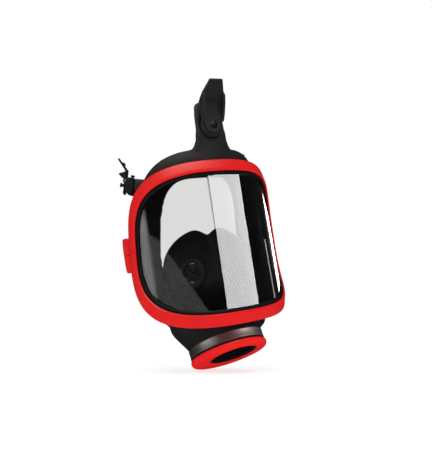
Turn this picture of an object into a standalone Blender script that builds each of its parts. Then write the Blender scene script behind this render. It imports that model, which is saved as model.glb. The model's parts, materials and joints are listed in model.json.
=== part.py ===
"""Full face respirator: rubber facepiece, cylindrical lens in a two-part frame, helmet hooks and connector.

+Z is up along the lens, the mask looks along -Y and the wearer's right side is -X.
The origin is the centre of the face opening, which is also the axis of the cylindrical lens.
"""
import math

import bmesh
import bpy
from mathutils import Matrix, Vector

MM = 0.001
GAP = 0.3                  # clearance between touching pieces

# lens and frame, measured along the cylinder that the frame's front lies on
FRAME_RADIUS = 80.0        # radius of the frame's front at its inner edge
HALF_ARC = 91.8            # half the arc length of the frame's inner edge
TOP_HEIGHT = 58.3          # frame's inner edge above the parting line
BOTTOM_HEIGHT = 62.9       # and below it
CORNER_TOP = 3.5           # superellipse exponents of the outline
CORNER_BOTTOM = 2.8
TAPER = 0.06 / 51.8        # the outline is slightly wider low down
BAND_WIDTH = 10.5          # width of the frame's front band
CHANNEL_DEPTH_RADIUS = 71.2  # radius of the frame's rear face
LENS_OUTER_RADIUS = 76.6
LENS_THICKNESS = 2.4
LIP_WIDTH = 3.0            # rubber lip seen inside the frame
OUTLINE_POINTS = 56

# clamping lugs where the frame halves meet, and their screws
LUG_ANGLE = math.radians(76.8)
LUG_RADIUS = 73.4
LUG_LENGTH = 15.0
SCREW_RADIUS = 1.5
# height from the parting line, then the half sizes along the radius and across it
LUG_SECTIONS = ((0.0, 5.0, 5.4), (7.0, 5.0, 5.4), (12.0, 4.6, 5.0), (LUG_LENGTH, 4.1, 4.5))

# connector, measured along the port axis from the bell's upper edge
PORT_CENTRE = Vector((0.0, -36.8, -97.0))
PORT_TILT = math.radians(18.4)
BELL_RADIUS = 35.0
PORT_OFFSET = -6.5         # the threaded port sits ahead of the connector's centre
PORT_RADIUS = 20.3
PORT_TUBE_RADIUS = 22.0
TUBE_END = -4.2            # the threaded tube stops behind the bell's mouth
LIP_END = -5.4             # and a thin lip of it stands in the mouth
MOUTH_RADIUS = 21.4
EXHALE_OFFSET = 16.2       # the exhalation duct stands behind it
EXHALE_RADIUS = 8.2
COLLAR_RADIUS = 9.7
EXHALE_SEAT_LOW = 20.0
EXHALE_SEAT_HIGH = 22.6
HOUSING_RADIUS = 30.3
NECK_RADIUS = 33.3
CLAMP_RADIUS = 34.2
CLAMP_LOW = 1.7
CLAMP_HIGH = 9.2
DECK_LOW = 4.0
DECK_HIGH = 7.0
COLLAR_TOP = 41.0
INHALE_RADIUS = 11.2
THREAD_PITCH = 3.6
VALVE_LIFT = 1.5
EXHAUST_SLOTS = 5
EXHAUST_STEP = 20.0        # degrees from slot to slot

# nose cup
CUP_WALL = 2.0
NOSE_NOTCH = 7.0
CHEEK_PLACE = Vector((27.0, -44.0, -24.0))
CHEEK_NORMAL = Vector((0.80, -0.60, 0.02))
CHEEK_RADIUS = 10.5
CHEEK_LIFT = 1.5

# forehead tongue and hook
TONGUE_FRONT = -70.5
TONGUE_BACK = -66.5
TONGUE_TOP = 123.0
HOOK_PIVOT_Z = 100.5
HOOK_DISC_RADIUS = 10.0
HOOK_FOOT_Y = -75.2
HOOK_THICKNESS = 2.4
HOOK_STUD_RADIUS = 2.0

# helmet adapters at the temples
ADAPTER_CENTRE = Vector((59.5, -13.0, 63.5))
ADAPTER_HEADING = math.radians(150.0)
ADAPTER_LEAN = math.radians(15.0)
BRACKET_THICKNESS = 7.0
BRACKET_DEPTH = 15.0
EAR_THICKNESS = 2.2
PIN_X = BRACKET_THICKNESS / 2 + 1.1
PIN_Z = 3.5
STUD_RADIUS = 1.5
PIN_RADIUS = 1.0
BARREL_RADIUS = 2.1

SIDES = {"left": 1.0, "right": -1.0}   # wearer's side and the sign of its X


def clear_scene():
    """Remove every object, so that the file holds only this model."""
    for item in list(bpy.data.objects):
        bpy.data.objects.remove(item, do_unlink=True)


def make_material(name, colour, roughness, metallic=0.0, alpha=1.0):
    """One Principled material."""
    material = bpy.data.materials.new(name)
    material.use_nodes = True
    shader = material.node_tree.nodes["Principled BSDF"]
    shader.inputs["Base Color"].default_value = (*colour, 1.0)
    shader.inputs["Roughness"].default_value = roughness
    shader.inputs["Metallic"].default_value = metallic
    shader.inputs["Alpha"].default_value = alpha
    return material


FINISHES = {
    "rubber": ((0.035, 0.035, 0.038), 0.55, 0.0),
    "red_plastic": ((0.80, 0.012, 0.012), 0.35, 0.0),
    "black_plastic": ((0.02, 0.02, 0.022), 0.4, 0.0),
    "grey_plastic": ((0.10, 0.10, 0.11), 0.45, 0.0),
    "steel": ((0.55, 0.54, 0.52), 0.3, 1.0),
    "silicone": ((0.05, 0.05, 0.055), 0.6, 0.0),
    "lens": ((0.82, 0.83, 0.83), 0.05, 0.0),
}


# ---------------------------------------------------------------- mesh helpers

def add_object(name, mesh, finish, parent=None, location=(0.0, 0.0, 0.0)):
    """Link a mesh as one named object with a material of its own."""
    item = bpy.data.objects.new(name, mesh)
    bpy.context.scene.collection.objects.link(item)
    if finish:
        colour, roughness, metallic = FINISHES[finish]
        item.data.materials.append(make_material(name, colour, roughness, metallic))
    item.location = Vector(location) * MM
    item.parent = parent
    return item


def mesh_from(name, points, faces, sharp_angle=35.0):
    """A closed mesh from points in millimetres, with its faces turned outwards."""
    shape = bmesh.new()
    verts = [shape.verts.new(Vector(point) * MM) for point in points]
    for face in faces:
        shape.faces.new([verts[index] for index in face])
    bmesh.ops.recalc_face_normals(shape, faces=shape.faces)
    mesh = bpy.data.meshes.new(name)
    shape.to_mesh(mesh)
    shape.free()
    mesh.shade_smooth()
    mesh.set_sharp_from_angle(angle=math.radians(sharp_angle))
    return mesh


def loft(name, loops, ring=False, flat_ends=False, sharp_angle=35.0):
    """Bridge loops of equal length. A ring joins its last loop to its first, any other gets end caps."""
    count = len(loops[0])
    points = [point for loop in loops for point in loop]
    faces = []
    spans = len(loops) if ring else len(loops) - 1
    for level in range(spans):
        low = level * count
        high = ((level + 1) % len(loops)) * count
        for index in range(count):
            after = (index + 1) % count
            faces.append((low + index, low + after, high + after, high + index))
    if flat_ends:
        faces += [tuple(range(count)), tuple(range(len(points) - count, len(points)))]
    elif not ring:
        for start in (0, len(points) - count):
            centre = sum((Vector(points[start + index]) for index in range(count)), Vector()) / count
            points.append(centre)
            for index in range(count):
                faces.append((start + index, start + (index + 1) % count, len(points) - 1))
    return mesh_from(name, points, faces, sharp_angle)


def turned(name, profile, segments=36, sharp_angle=35.0):
    """Turn a profile of (radius, height) about Z. One that starts and ends on Z is closed there."""
    on_axis = profile[0][0] == 0.0
    rings = profile[1:-1] if on_axis else profile
    points = []
    for radius, height in rings:
        for index in range(segments):
            angle = 2 * math.pi * index / segments
            points.append((radius * math.cos(angle), radius * math.sin(angle), height))
    faces = []
    spans = len(rings) - 1 if on_axis else len(rings)
    for level in range(spans):
        low = level * segments
        high = ((level + 1) % len(rings)) * segments
        for index in range(segments):
            after = (index + 1) % segments
            faces.append((low + index, low + after, high + after, high + index))
    if on_axis:
        for start, pole, edge in ((0, profile[0], rings[0]),
                                  (len(points) - segments, profile[-1], rings[-1])):
            if pole[1] == edge[1]:
                faces.append(tuple(range(start, start + segments)))
                continue
            points.append((0.0, 0.0, pole[1]))
            for index in range(segments):
                faces.append((start + index, start + (index + 1) % segments, len(points) - 1))
    return mesh_from(name, points, faces, sharp_angle)


def prism(name, outline, low, high, axis="Z", sharp_angle=35.0):
    """Extrude a flat outline from low to high along an axis."""
    place = {
        "X": lambda a, b, c: (c, a, b),
        "Y": lambda a, b, c: (a, c, b),
        "Z": lambda a, b, c: (a, b, c),
    }[axis]
    count = len(outline)
    points = [place(a, b, level) for level in (low, high) for a, b in outline]
    faces = [tuple(range(count)), tuple(range(count, 2 * count))]
    for index in range(count):
        after = (index + 1) % count
        faces.append((index, after, count + after, count + index))
    return mesh_from(name, points, faces, sharp_angle)


def circle(radius, centre=(0.0, 0.0), count=24, start=0.0):
    """Points of a circle in a plane. Start turns it, in steps."""
    points = []
    for index in range(count):
        angle = 2 * math.pi * (index + start) / count
        points.append((centre[0] + radius * math.cos(angle), centre[1] + radius * math.sin(angle)))
    return points


def rounded_box(half_width, half_height, radius, steps=4):
    """Outline of a rectangle with round corners."""
    points = []
    corners = ((1, 1, 0.0), (-1, 1, 90.0), (-1, -1, 180.0), (1, -1, 270.0))
    for sign_x, sign_y, start in corners:
        for step in range(steps + 1):
            angle = math.radians(start + 90.0 * step / steps)
            points.append((sign_x * (half_width - radius) + radius * math.cos(angle),
                           sign_y * (half_height - radius) + radius * math.sin(angle)))
    return points


def tool(mesh, parent=None, location=(0.0, 0.0, 0.0)):
    """A hidden solid that another one is joined with or cut by."""
    item = add_object(mesh.name, mesh, None, parent, location)
    item.hide_render = True
    item.display_type = "WIRE"
    return item


def combine(item, other, operation):
    """Add an exact Boolean to an object."""
    step = item.modifiers.new(other.name, "BOOLEAN")
    step.operation = operation
    step.solver = "EXACT"
    step.object = other


# ---------------------------------------------------------------- outlines on the lens cylinder

def evenly_spaced(curve, count):
    """Pick points at equal distances along a dense curve."""
    lengths = [0.0]
    for before, after in zip(curve, curve[1:]):
        lengths.append(lengths[-1] + math.dist(before, after))
    chosen = []
    place = 0
    for index in range(count):
        target = lengths[-1] * index / count
        while lengths[place + 1] < target:
            place += 1
        part = (target - lengths[place]) / (lengths[place + 1] - lengths[place])
        chosen.append(tuple(a + (b - a) * part for a, b in zip(curve[place], curve[place + 1])))
    return chosen


def superellipse(half_width, top, bottom, corner_top, corner_bottom, count=OUTLINE_POINTS):
    """Closed outline with its quarters sampled alike, so that any two of them can be bridged."""
    dense = 90
    points = []
    for quarter in range(4):
        upper = quarter < 2
        height = top if upper else bottom
        power = 2.0 / (corner_top if upper else corner_bottom)
        curve = []
        for step in range(dense + 1):
            angle = math.radians(90.0 * quarter + 90.0 * step / dense)
            across = math.copysign(abs(math.cos(angle)) ** power, math.cos(angle))
            along = math.copysign(abs(math.sin(angle)) ** power, math.sin(angle))
            curve.append((half_width * across, height * along))
        points += evenly_spaced(curve, count // 4)
    return points


def lens_loop(offset, radius, top_extra=0.0):
    """The frame's outline, widened by an offset and wrapped on a cylinder about Z."""
    points = []
    outline = superellipse(HALF_ARC + offset, TOP_HEIGHT + offset + top_extra, BOTTOM_HEIGHT + offset,
                           CORNER_TOP, CORNER_BOTTOM)
    for along, height in outline:
        angle = along * (1.0 - TAPER * height) / FRAME_RADIUS
        points.append((radius * math.sin(angle), -radius * math.cos(angle), height))
    return points


def face_loop(half_width, top, bottom, side_y, top_y, bottom_y, corner_top=2.6, corner_bottom=2.4, bend=2.0):
    """A loop around the face, with its own depth at the temples, forehead and chin; bend 1 joins them straight."""
    points = []
    for across, height in superellipse(half_width, top, bottom, corner_top, corner_bottom):
        share = height / top if height > 0 else -height / bottom
        target = top_y if height > 0 else bottom_y
        points.append((across, side_y + (target - side_y) * share ** bend, height))
    return points


# ---------------------------------------------------------------- facepiece, lens and frame

def shell_loops():
    """Loops of the rubber shell: outside from the lens back to the face, then inside and forward again."""
    back_lip = LENS_OUTER_RADIUS - LENS_THICKNESS - GAP
    front_lip = LENS_OUTER_RADIUS + GAP
    groove = 2.3
    return [
        lens_loop(-LIP_WIDTH, front_lip + 1.0),
        lens_loop(0.0, front_lip + 0.7),
        lens_loop(8.4, 75.3),
        lens_loop(8.4, 73.0),
        lens_loop(4.4, 73.0),
        lens_loop(4.4, 70.7),
        lens_loop(7.0, 70.0, top_extra=10.0),
        lens_loop(8.5, 66.5, top_extra=15.0),
        face_loop(63.0, 81.0, 82.0, -14.0, -50.0, -26.0, 3.0, 2.1),
        face_loop(63.0, 76.0, 83.0, 2.0, -38.0, 0.0, 2.8, 1.9),
        face_loop(61.0, 73.0, 82.0, 9.0, -33.0, 11.0, 2.6, 1.9),
        face_loop(57.0, 69.0, 77.0, 10.0, -32.0, 12.0, 2.6, 1.9),
        face_loop(51.0, 64.0, 73.5, -6.0, -38.0, 11.5, 2.9, 1.9, 1.5),
        face_loop(43.5, 59.5, 70.0, -20.0, -46.0, 9.5, 3.4, 1.8, 1.1),
        face_loop(44.0, 60.0, 71.0, -22.0, -48.0, 7.5, 3.4, 1.8, 1.1),
        face_loop(52.0, 66.0, 75.0, -9.0, -42.0, 8.8, 2.9, 1.9, 1.5),
        face_loop(58.0, 71.0, 78.4, 2.0, -37.0, 8.6, 2.6, 1.95),
        face_loop(59.5, 73.0, 80.0, -1.0, -40.0, -2.0, 2.8, 1.95),
        face_loop(60.0, 78.0, 79.0, -14.0, -50.0, -26.0, 3.0, 2.1),
        lens_loop(4.0, 65.5, top_extra=13.0),
        lens_loop(1.4, 69.6, top_extra=2.0),
        lens_loop(-LIP_WIDTH, back_lip - 1.0),
        lens_loop(-LIP_WIDTH, back_lip),
        lens_loop(groove, back_lip),
        lens_loop(groove, front_lip),
        lens_loop(-LIP_WIDTH, front_lip),
    ]


def inner_space():
    """The space inside the shell, out to the middle of its wall."""
    return loft("inner_space", [
        lens_loop(2.0, 71.0),
        lens_loop(5.6, 66.0, top_extra=14.0),
        face_loop(61.5, 79.5, 80.5, -14.0, -50.0, -26.0, 3.0, 2.1),
        face_loop(61.2, 74.5, 81.5, 0.0, -39.0, -1.0, 2.8, 1.92),
        face_loop(59.0, 71.5, 79.5, 6.0, -35.0, 8.5, 2.6, 1.92),
    ])


def port_frame():
    """Empty on the port axis at the bell's upper edge, with its Z up into the mask."""
    frame = bpy.data.objects.new("port_axis", None)
    bpy.context.scene.collection.objects.link(frame)
    frame.location = PORT_CENTRE * MM
    frame.rotation_euler = (-PORT_TILT, 0.0, 0.0)
    return frame


def port_loop(radius, height, count=40):
    """A circle about the port axis, in world coordinates."""
    turn = Matrix.Rotation(-PORT_TILT, 4, "X")
    return [PORT_CENTRE + turn @ Vector((x, y, height)) for x, y in circle(radius, count=count)]


def chin_loop(half_width, half_depth, centre_y, height, count=40):
    """A level oval under the chin, started at the same place as a port loop."""
    points = []
    for x, y in circle(1.0, count=count):
        points.append(Vector((x * half_width, centre_y + y * half_depth, height)))
    return points


def facepiece():
    """The moulded rubber body with its neck, forehead tongue and temple tabs."""
    body = add_object("facepiece_body", loft("facepiece_body", shell_loops(), ring=True), "rubber")
    neck = tool(loft("neck_solid", [
        port_loop(CLAMP_RADIUS, GAP),
        port_loop(CLAMP_RADIUS, 1.2),
        port_loop(NECK_RADIUS, 1.6),
        port_loop(NECK_RADIUS, 10.0),
        port_loop(NECK_RADIUS + 0.8, 11.5),
        chin_loop(44.0, 36.0, -28.0, -76.0),
        chin_loop(46.0, 36.0, -26.0, -64.0),
    ], flat_ends=True))
    combine(neck, tool(inner_space()), "DIFFERENCE")
    combine(body, neck, "UNION")
    bore = tool(loft("neck_bore", [
        port_loop(HOUSING_RADIUS + GAP, -2.0),
        port_loop(HOUSING_RADIUS + GAP, 13.0),
        chin_loop(38.0, 31.0, -28.0, -77.0),
        chin_loop(38.0, 30.0, -28.0, -60.0),
    ], flat_ends=True))
    combine(body, bore, "DIFFERENCE")
    combine(body, tool(tongue_solid()), "UNION")
    hole = tool(prism("tongue_hole", circle(HOOK_DISC_RADIUS + GAP, (0.0, HOOK_PIVOT_Z), 24, 0.5), -76.0,
                      -60.0, "Y"))
    combine(body, hole, "DIFFERENCE")
    return body


def tongue_solid():
    """Outline of the forehead tongue, flared into the body at its foot and round at its top."""
    right = [(30.0, 72.0), (26.0, 77.5), (20.0, 80.5), (16.8, 84.0), (15.2, 89.0), (14.0, 100.0),
             (12.8, 114.0)]
    corner = 6.0
    for step in range(1, 6):
        angle = math.radians(90.0 * step / 5)
        right.append((12.6 - corner + corner * math.cos(angle),
                      TONGUE_TOP - corner + corner * math.sin(angle)))
    outline = right + [(-x, z) for x, z in reversed(right)]
    return prism("tongue_solid", outline, TONGUE_FRONT, TONGUE_BACK, "Y")


def lens():
    """Curved one-piece viewing lens: its rings are copies of the outline, closer together under the lips."""
    faces_out = []
    for radius in (LENS_OUTER_RADIUS, LENS_OUTER_RADIUS - LENS_THICKNESS):
        loops = []
        for share in (0.34, 0.67):
            ring = []
            for along, height in superellipse(HALF_ARC, TOP_HEIGHT, BOTTOM_HEIGHT, CORNER_TOP,
                                              CORNER_BOTTOM):
                angle = along * share * (1.0 - TAPER * height) / FRAME_RADIUS
                ring.append((radius * math.sin(angle), -radius * math.cos(angle), height * share))
            loops.append(ring)
        loops.append(lens_loop(-LIP_WIDTH - 0.6, radius))
        loops.append(lens_loop(2.0, radius))
        faces_out.append(loops)
    front, back = faces_out
    mesh = loft("lens", front + list(reversed(back)))
    # the end caps of the loft close the two small middle rings on the cylinder
    cap_radius = LENS_OUTER_RADIUS
    for vertex in mesh.vertices[-2:]:
        vertex.co = Vector((0.0, -cap_radius, 0.0)) * MM
        cap_radius -= LENS_THICKNESS
    return add_object("lens", mesh, "lens")


def frame_half(name, upper):
    """Half of the red channel that clamps the rubber and the lens together."""
    profile = [(0.0, 78.5), (0.4, 79.9), (1.4, 80.0), (8.6, 78.2), (10.0, 77.5), (BAND_WIDTH, 76.4),
               (BAND_WIDTH, CHANNEL_DEPTH_RADIUS), (4.9, CHANNEL_DEPTH_RADIUS), (4.9, 72.6),
               (8.8, 72.6), (8.8, 76.1)]
    loops = [lens_loop(offset, radius) for offset, radius in profile]
    half = OUTLINE_POINTS // 2
    start = 0 if upper else half
    split = GAP / 2 if upper else -GAP / 2
    strip = []
    for index in range(half + 1):
        section = [Vector(loop[(start + index) % OUTLINE_POINTS]) for loop in loops]
        if index in (0, half):
            section = [Vector((point.x, point.y, split)) for point in section]
        strip.append(section)
    item = add_object(name, loft(name, strip, flat_ends=True), "red_plastic")
    for side, sign in SIDES.items():
        combine(item, tool(lug_solid(name + "_lug_" + side, sign, upper)), "UNION")
        combine(item, tool(lug_bore(name + "_bore_" + side, sign, upper)), "DIFFERENCE")
    return item


def lug_centre(sign):
    """Where the clamping screw stands beside the frame, in plan."""
    return Vector((sign * LUG_RADIUS * math.sin(LUG_ANGLE), -LUG_RADIUS * math.cos(LUG_ANGLE), 0.0))


def lug_solid(name, sign, upper):
    """Tapered boss on a frame half's end, round in plan, that takes the clamping screw."""
    centre = lug_centre(sign)
    direction = 1.0 if upper else -1.0
    base = direction * GAP / 2
    heading = math.atan2(centre.y, centre.x)
    loops = []
    for height, radial, tangential in LUG_SECTIONS:
        loop = []
        for a, b in circle(1.0, count=14):
            reach = Vector((a * radial, b * tangential, 0.0))
            reach.rotate(Matrix.Rotation(heading, 3, "Z"))
            loop.append(centre + reach + Vector((0.0, 0.0, base + direction * height)))
        loops.append(loop)
    return loft(name, loops, flat_ends=True)


def lug_bore(name, sign, upper):
    """Stepped bore for the screw: its head below, its nut above."""
    centre = lug_centre(sign)
    clearance = SCREW_RADIUS + GAP
    if upper:
        profile = [(0.0, -2.0), (clearance, -2.0), (clearance, 7.0), (3.3, 7.0), (3.3, 20.0), (0.0, 20.0)]
    else:
        profile = [(0.0, 2.0), (clearance, 2.0), (clearance, -7.0), (3.3, -7.0), (3.3, -20.0), (0.0, -20.0)]
    mesh = turned(name, profile, 12)
    mesh.transform(Matrix.Translation(centre * MM))
    return mesh


def frame_fasteners():
    """One vertical screw and one nut at each side hold the two frame halves together."""
    for side, sign in SIDES.items():
        centre = lug_centre(sign)
        screw = turned("frame_screw_" + side, [
            (0.0, -10.4), (2.6, -10.4), (2.9, -10.0), (2.9, -7.0 - GAP), (SCREW_RADIUS, -7.0 - GAP),
            (SCREW_RADIUS, 11.2), (0.0, 11.2)], 12)
        item = add_object(screw.name, screw, "steel", None, centre)
        socket = tool(prism("socket_" + side, circle(1.3, count=6), -12.0, -8.6), None, centre)
        combine(item, socket, "DIFFERENCE")
        nut = prism("frame_nut_" + side, circle(3.0, count=6), 7.0 + GAP, 10.2)
        nut_item = add_object(nut.name, nut, "steel", None, centre)
        thread = tool(prism("nut_bore_" + side, circle(SCREW_RADIUS + GAP, count=12), 5.0, 12.0), None,
                      centre)
        combine(nut_item, thread, "DIFFERENCE")


# ---------------------------------------------------------------- connector

def cylinder(name, radius, low, high, offset, count=32):
    """A cylinder parallel to the port axis, ahead of it or behind it."""
    return prism(name, circle(radius, (0.0, offset), count, 0.5), low, high)


def connector(port):
    """Housing, bell, threaded port and the two valves of the connector, all along the port axis."""
    housing = add_object("connector_housing", turned("connector_housing", [
        (HOUSING_RADIUS, -1.1), (HOUSING_RADIUS, 12.0), (HOUSING_RADIUS - 1.4, 12.0),
        (HOUSING_RADIUS - 1.4, -1.1)]), "black_plastic", port)
    deck = tool(turned("deck_solid", [(0.0, DECK_LOW), (29.0, DECK_LOW), (29.0, DECK_HIGH),
                                      (0.0, DECK_HIGH)]), port)
    combine(housing, deck, "UNION")
    collar = tool(cylinder("collar_solid", COLLAR_RADIUS, DECK_LOW + 1.0, COLLAR_TOP, EXHALE_OFFSET), port)
    combine(housing, collar, "UNION")
    for name, radius, offset in (("inhale_hole", INHALE_RADIUS, PORT_OFFSET),
                                 ("exhale_hole", EXHALE_RADIUS, EXHALE_OFFSET)):
        combine(housing, tool(cylinder(name, radius, 0.0, COLLAR_TOP + 4.0, offset), port), "DIFFERENCE")

    bell = add_object("connector_bell", turned("connector_bell", [
        (0.0, -4.4), (10.0, -4.4), (22.0, -3.1), (29.0, -1.9), (HOUSING_RADIUS + GAP, -1.5),
        (HOUSING_RADIUS + GAP, 0.0), (34.2, 0.0), (34.8, -0.3), (BELL_RADIUS, -0.8), (BELL_RADIUS, -2.4),
        (34.7, -3.5), (33.8, -4.4), (32.0, -5.0), (29.0, -5.5), (22.0, -6.1), (10.0, -6.8), (0.0, -6.8)]),
        "red_plastic", port)
    socket = tool(cylinder("bell_socket", PORT_TUBE_RADIUS + GAP, TUBE_END - GAP, 2.0, PORT_OFFSET, 36),
                  port)
    combine(bell, socket, "DIFFERENCE")
    mouth = tool(cylinder("bell_mouth", MOUTH_RADIUS, -20.0, 1.0, PORT_OFFSET, 40), port)
    combine(bell, mouth, "DIFFERENCE")
    exhaust_slots(bell, port)

    # threaded insert: a tube with rounded thread ridges, held between the bell's mouth and the deck
    ridge = 0.9
    profile = [(PORT_TUBE_RADIUS, TUBE_END), (PORT_TUBE_RADIUS, DECK_LOW - GAP),
               (PORT_RADIUS, DECK_LOW - GAP)]
    height = DECK_LOW - 1.6
    while height > TUBE_END + 2.0:
        profile += [(PORT_RADIUS, height), (PORT_RADIUS - ridge + 0.4, height - 0.9),
                    (PORT_RADIUS, height - 1.8)]
        height -= THREAD_PITCH
    profile += [(PORT_RADIUS, LIP_END), (MOUTH_RADIUS - GAP, LIP_END), (MOUTH_RADIUS - GAP, TUBE_END)]
    add_object("port_insert", turned("port_insert", profile[::-1], 32), "black_plastic", port,
               (0.0, PORT_OFFSET, 0.0))
    add_object("port_gasket", turned("port_gasket", [
        (14.4, DECK_LOW - GAP), (14.4, DECK_LOW - 1.3), (PORT_RADIUS - 0.5, DECK_LOW - 1.3),
        (PORT_RADIUS - 0.5, DECK_LOW - GAP)], 24), "silicone", port, (0.0, PORT_OFFSET, 0.0))

    valve("inhalation", (DECK_LOW + 0.2, DECK_HIGH - 0.2), INHALE_RADIUS, DECK_HIGH + GAP,
          INHALE_RADIUS + 1.2,
          PORT_OFFSET, port, 1.0)
    valve("exhalation", (EXHALE_SEAT_LOW, EXHALE_SEAT_HIGH), EXHALE_RADIUS, EXHALE_SEAT_LOW - GAP,
          EXHALE_RADIUS - 0.8, EXHALE_OFFSET, port, -1.0)


def exhaust_slots(bell, port):
    """Slots through the bell's rear where the exhaled air leaves."""
    for index in range(EXHAUST_SLOTS):
        angle = math.radians(90.0 + EXHAUST_STEP * (index - (EXHAUST_SLOTS - 1) / 2))
        outline = rounded_box(3.4, 1.3, 1.2, 3)
        slot = tool(prism("exhaust_slot_%d" % index, outline, -9.0, 1.0), port,
                    (25.0 * math.cos(angle), 25.0 * math.sin(angle), 0.0))
        slot.rotation_euler = (0.0, 0.0, angle)
        combine(bell, slot, "DIFFERENCE")


def valve(kind, levels, passage, face, reach, offset, port, away):
    """A spider seat pressed into a passage and the soft disc that lifts off its face, towards away."""
    low, high = levels
    outer = passage - GAP
    seat = add_object(kind + "_valve_seat", turned(kind + "_valve_seat", [
        (outer, low), (outer, high), (outer - 1.6, high), (outer - 1.6,
                                                           low)][::-1], 24), "grey_plastic", port,
        (0.0, offset, 0.0))
    middle = (low + high) / 2
    for index in range(2):
        arm = rounded_box(outer - 0.8, 0.9, 0.4, 1)
        spoke = tool(prism("%s_spoke_%d" % (kind, index), arm, middle - 1.0, middle + 1.0), port,
                     (0.0, offset, 0.0))
        spoke.rotation_euler = (0.0, 0.0, math.radians(45.0 + 90.0 * index))
        combine(seat, spoke, "UNION")
    # the disc's stem passes the spider's hub and ends in a bulb that keeps it there
    hub = tool(cylinder(kind + "_hub", 2.6, middle - 1.1, middle + 1.1, offset, 16), port)
    combine(seat, hub, "UNION")
    combine(seat, tool(cylinder(kind + "_stem_hole", 1.4, low - 4.0, high + 4.0, offset, 16), port),
            "DIFFERENCE")
    disc = [(0.0, face + away * 1.4), (2.0, face + away * 1.4), (3.0, face + away * 0.9),
            (reach, face + away * 0.8),
            (reach, face), (1.0, face), (1.0, middle - away * (1.1 + VALVE_LIFT + GAP)),
            (1.3, middle - away * (1.5 + VALVE_LIFT)), (1.0, middle - away * (2.6 + VALVE_LIFT)),
            (0.0, middle - away * (2.8 + VALVE_LIFT))]
    add_object(kind + "_valve_disc", turned(kind + "_valve_disc", disc, 20), "silicone", port,
               (0.0, offset, 0.0))


def clamp(port):
    """Steel band around the neck, drawn tight by a screw through its two ears at the rear."""
    gap_half = math.radians(4.0)
    steps = 44
    inner, outer = NECK_RADIUS + 0.2, CLAMP_RADIUS
    ear = 7.0
    strip = []
    for index in range(steps + 1):
        angle = math.radians(90.0) + gap_half + (2 * math.pi - 2 * gap_half) * index / steps
        strip.append((math.cos(angle), math.sin(angle)))
    first, last = strip[0], strip[-1]
    outline = [(first[0] * (outer + ear), first[1] * (outer + ear))]
    outline += [(x * inner, y * inner) for x, y in strip]
    outline += [(last[0] * (outer + ear), last[1] * (outer + ear))]
    thick = outer - inner
    outline += [(last[0] * (outer + ear) + thick, last[1] * (outer + ear))]
    outline += [(last[0] * outer + thick, last[1] * outer)]
    outline += [(x * outer, y * outer) for x, y in reversed(strip[1:-1])]
    outline += [(first[0] * outer - thick, first[1] * outer)]
    outline += [(first[0] * (outer + ear) - thick, first[1] * (outer + ear))]
    band = add_object("clamp_band", prism("clamp_band", outline, CLAMP_LOW, CLAMP_HIGH), "steel", port)
    height = (CLAMP_LOW + CLAMP_HIGH) / 2
    reach = outer + 4.2
    hole = tool(prism("clamp_hole", circle(1.6, (reach, height), 16), -20.0, 20.0, "X"), port)
    combine(band, hole, "DIFFERENCE")
    ear_x = reach * math.sin(gap_half) + thick + 0.3
    screw = turned("clamp_screw", [(0.0, -ear_x - 3.0), (2.4, -ear_x - 3.0), (2.8, -ear_x - 2.6),
                                   (2.8, -ear_x - GAP),
                                   (1.3, -ear_x - GAP), (1.3, ear_x + 4.0), (0.0, ear_x + 4.0)], 16)
    item = add_object("clamp_screw", screw, "steel", port, (0.0, reach, height))
    item.rotation_euler = (0.0, math.radians(90.0), 0.0)
    combine(item, slot_cutter(port, (0.0, reach, height), ear_x), "DIFFERENCE")
    nut = add_object("clamp_nut", prism("clamp_nut", circle(2.9, count=6), ear_x + GAP, ear_x + 2.8),
                     "steel", port,
                     (0.0, reach, height))
    nut.rotation_euler = (0.0, math.radians(90.0), 0.0)
    bore = tool(prism("clamp_nut_bore", circle(1.3 + GAP, count=16), 0.0, 20.0), port, (0.0, reach, height))
    bore.rotation_euler = nut.rotation_euler
    combine(nut, bore, "DIFFERENCE")


def slot_cutter(port, location, ear_x):
    """Driver slot of the clamp screw's head."""
    cutter = tool(prism("clamp_slot", rounded_box(4.0, 0.4, 0.1, 1), -ear_x - 5.0, -ear_x - 2.0), port,
                  location)
    cutter.rotation_euler = (0.0, math.radians(90.0), 0.0)
    return cutter


# ---------------------------------------------------------------- nose cup

def nose_cup(port):
    """Inner half-mask over nose and mouth, with a check valve in each cheek."""
    outer = [
        (43.0, 17.0, 58.0, -21.0, -31.0, 6.0), (43.5, 16.0, 60.5, -24.0, -35.0, 0.0),
        (41.0, 13.0, 61.0, -29.0, -41.0, -8.0), (34.5, 7.0, 58.0, -36.0, -48.0, -20.0),
        (26.0, -2.0, 53.0, -46.0, -55.0, -36.0), (15.0, -12.0, 45.0, -54.0, -60.0, -48.0),
        (6.0, -19.0, 37.0, -57.0, -61.0, -54.0),
    ]
    outside = [nose_loop(*row) for row in reversed(outer)]
    inside = [nose_loop(*row, shrink=CUP_WALL) for row in outer]
    cup = add_object("nose_cup", loft("nose_cup", outside + inside), "silicone")
    sleeve = COLLAR_RADIUS + GAP + CUP_WALL
    combine(cup, tool(cylinder("cup_sleeve", sleeve, COLLAR_TOP - 7.0, COLLAR_TOP + 6.0, EXHALE_OFFSET, 28),
                      port), "UNION")
    collar_hole = tool(cylinder("cup_collar_hole", COLLAR_RADIUS + GAP, 10.0, 54.0, EXHALE_OFFSET, 28), port)
    combine(cup, collar_hole, "DIFFERENCE")
    add_object("nose_cup_ring", turned("nose_cup_ring", [
        (sleeve + GAP, COLLAR_TOP - 5.4), (sleeve + GAP, COLLAR_TOP - 2.6),
        (sleeve + 1.7, COLLAR_TOP - 2.6), (sleeve + 1.7, COLLAR_TOP - 5.4)][::-1], 28),
        "black_plastic", port, (0.0, EXHALE_OFFSET, 0.0))
    for side, sign in SIDES.items():
        cheek_valve(cup, side, sign)


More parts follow.
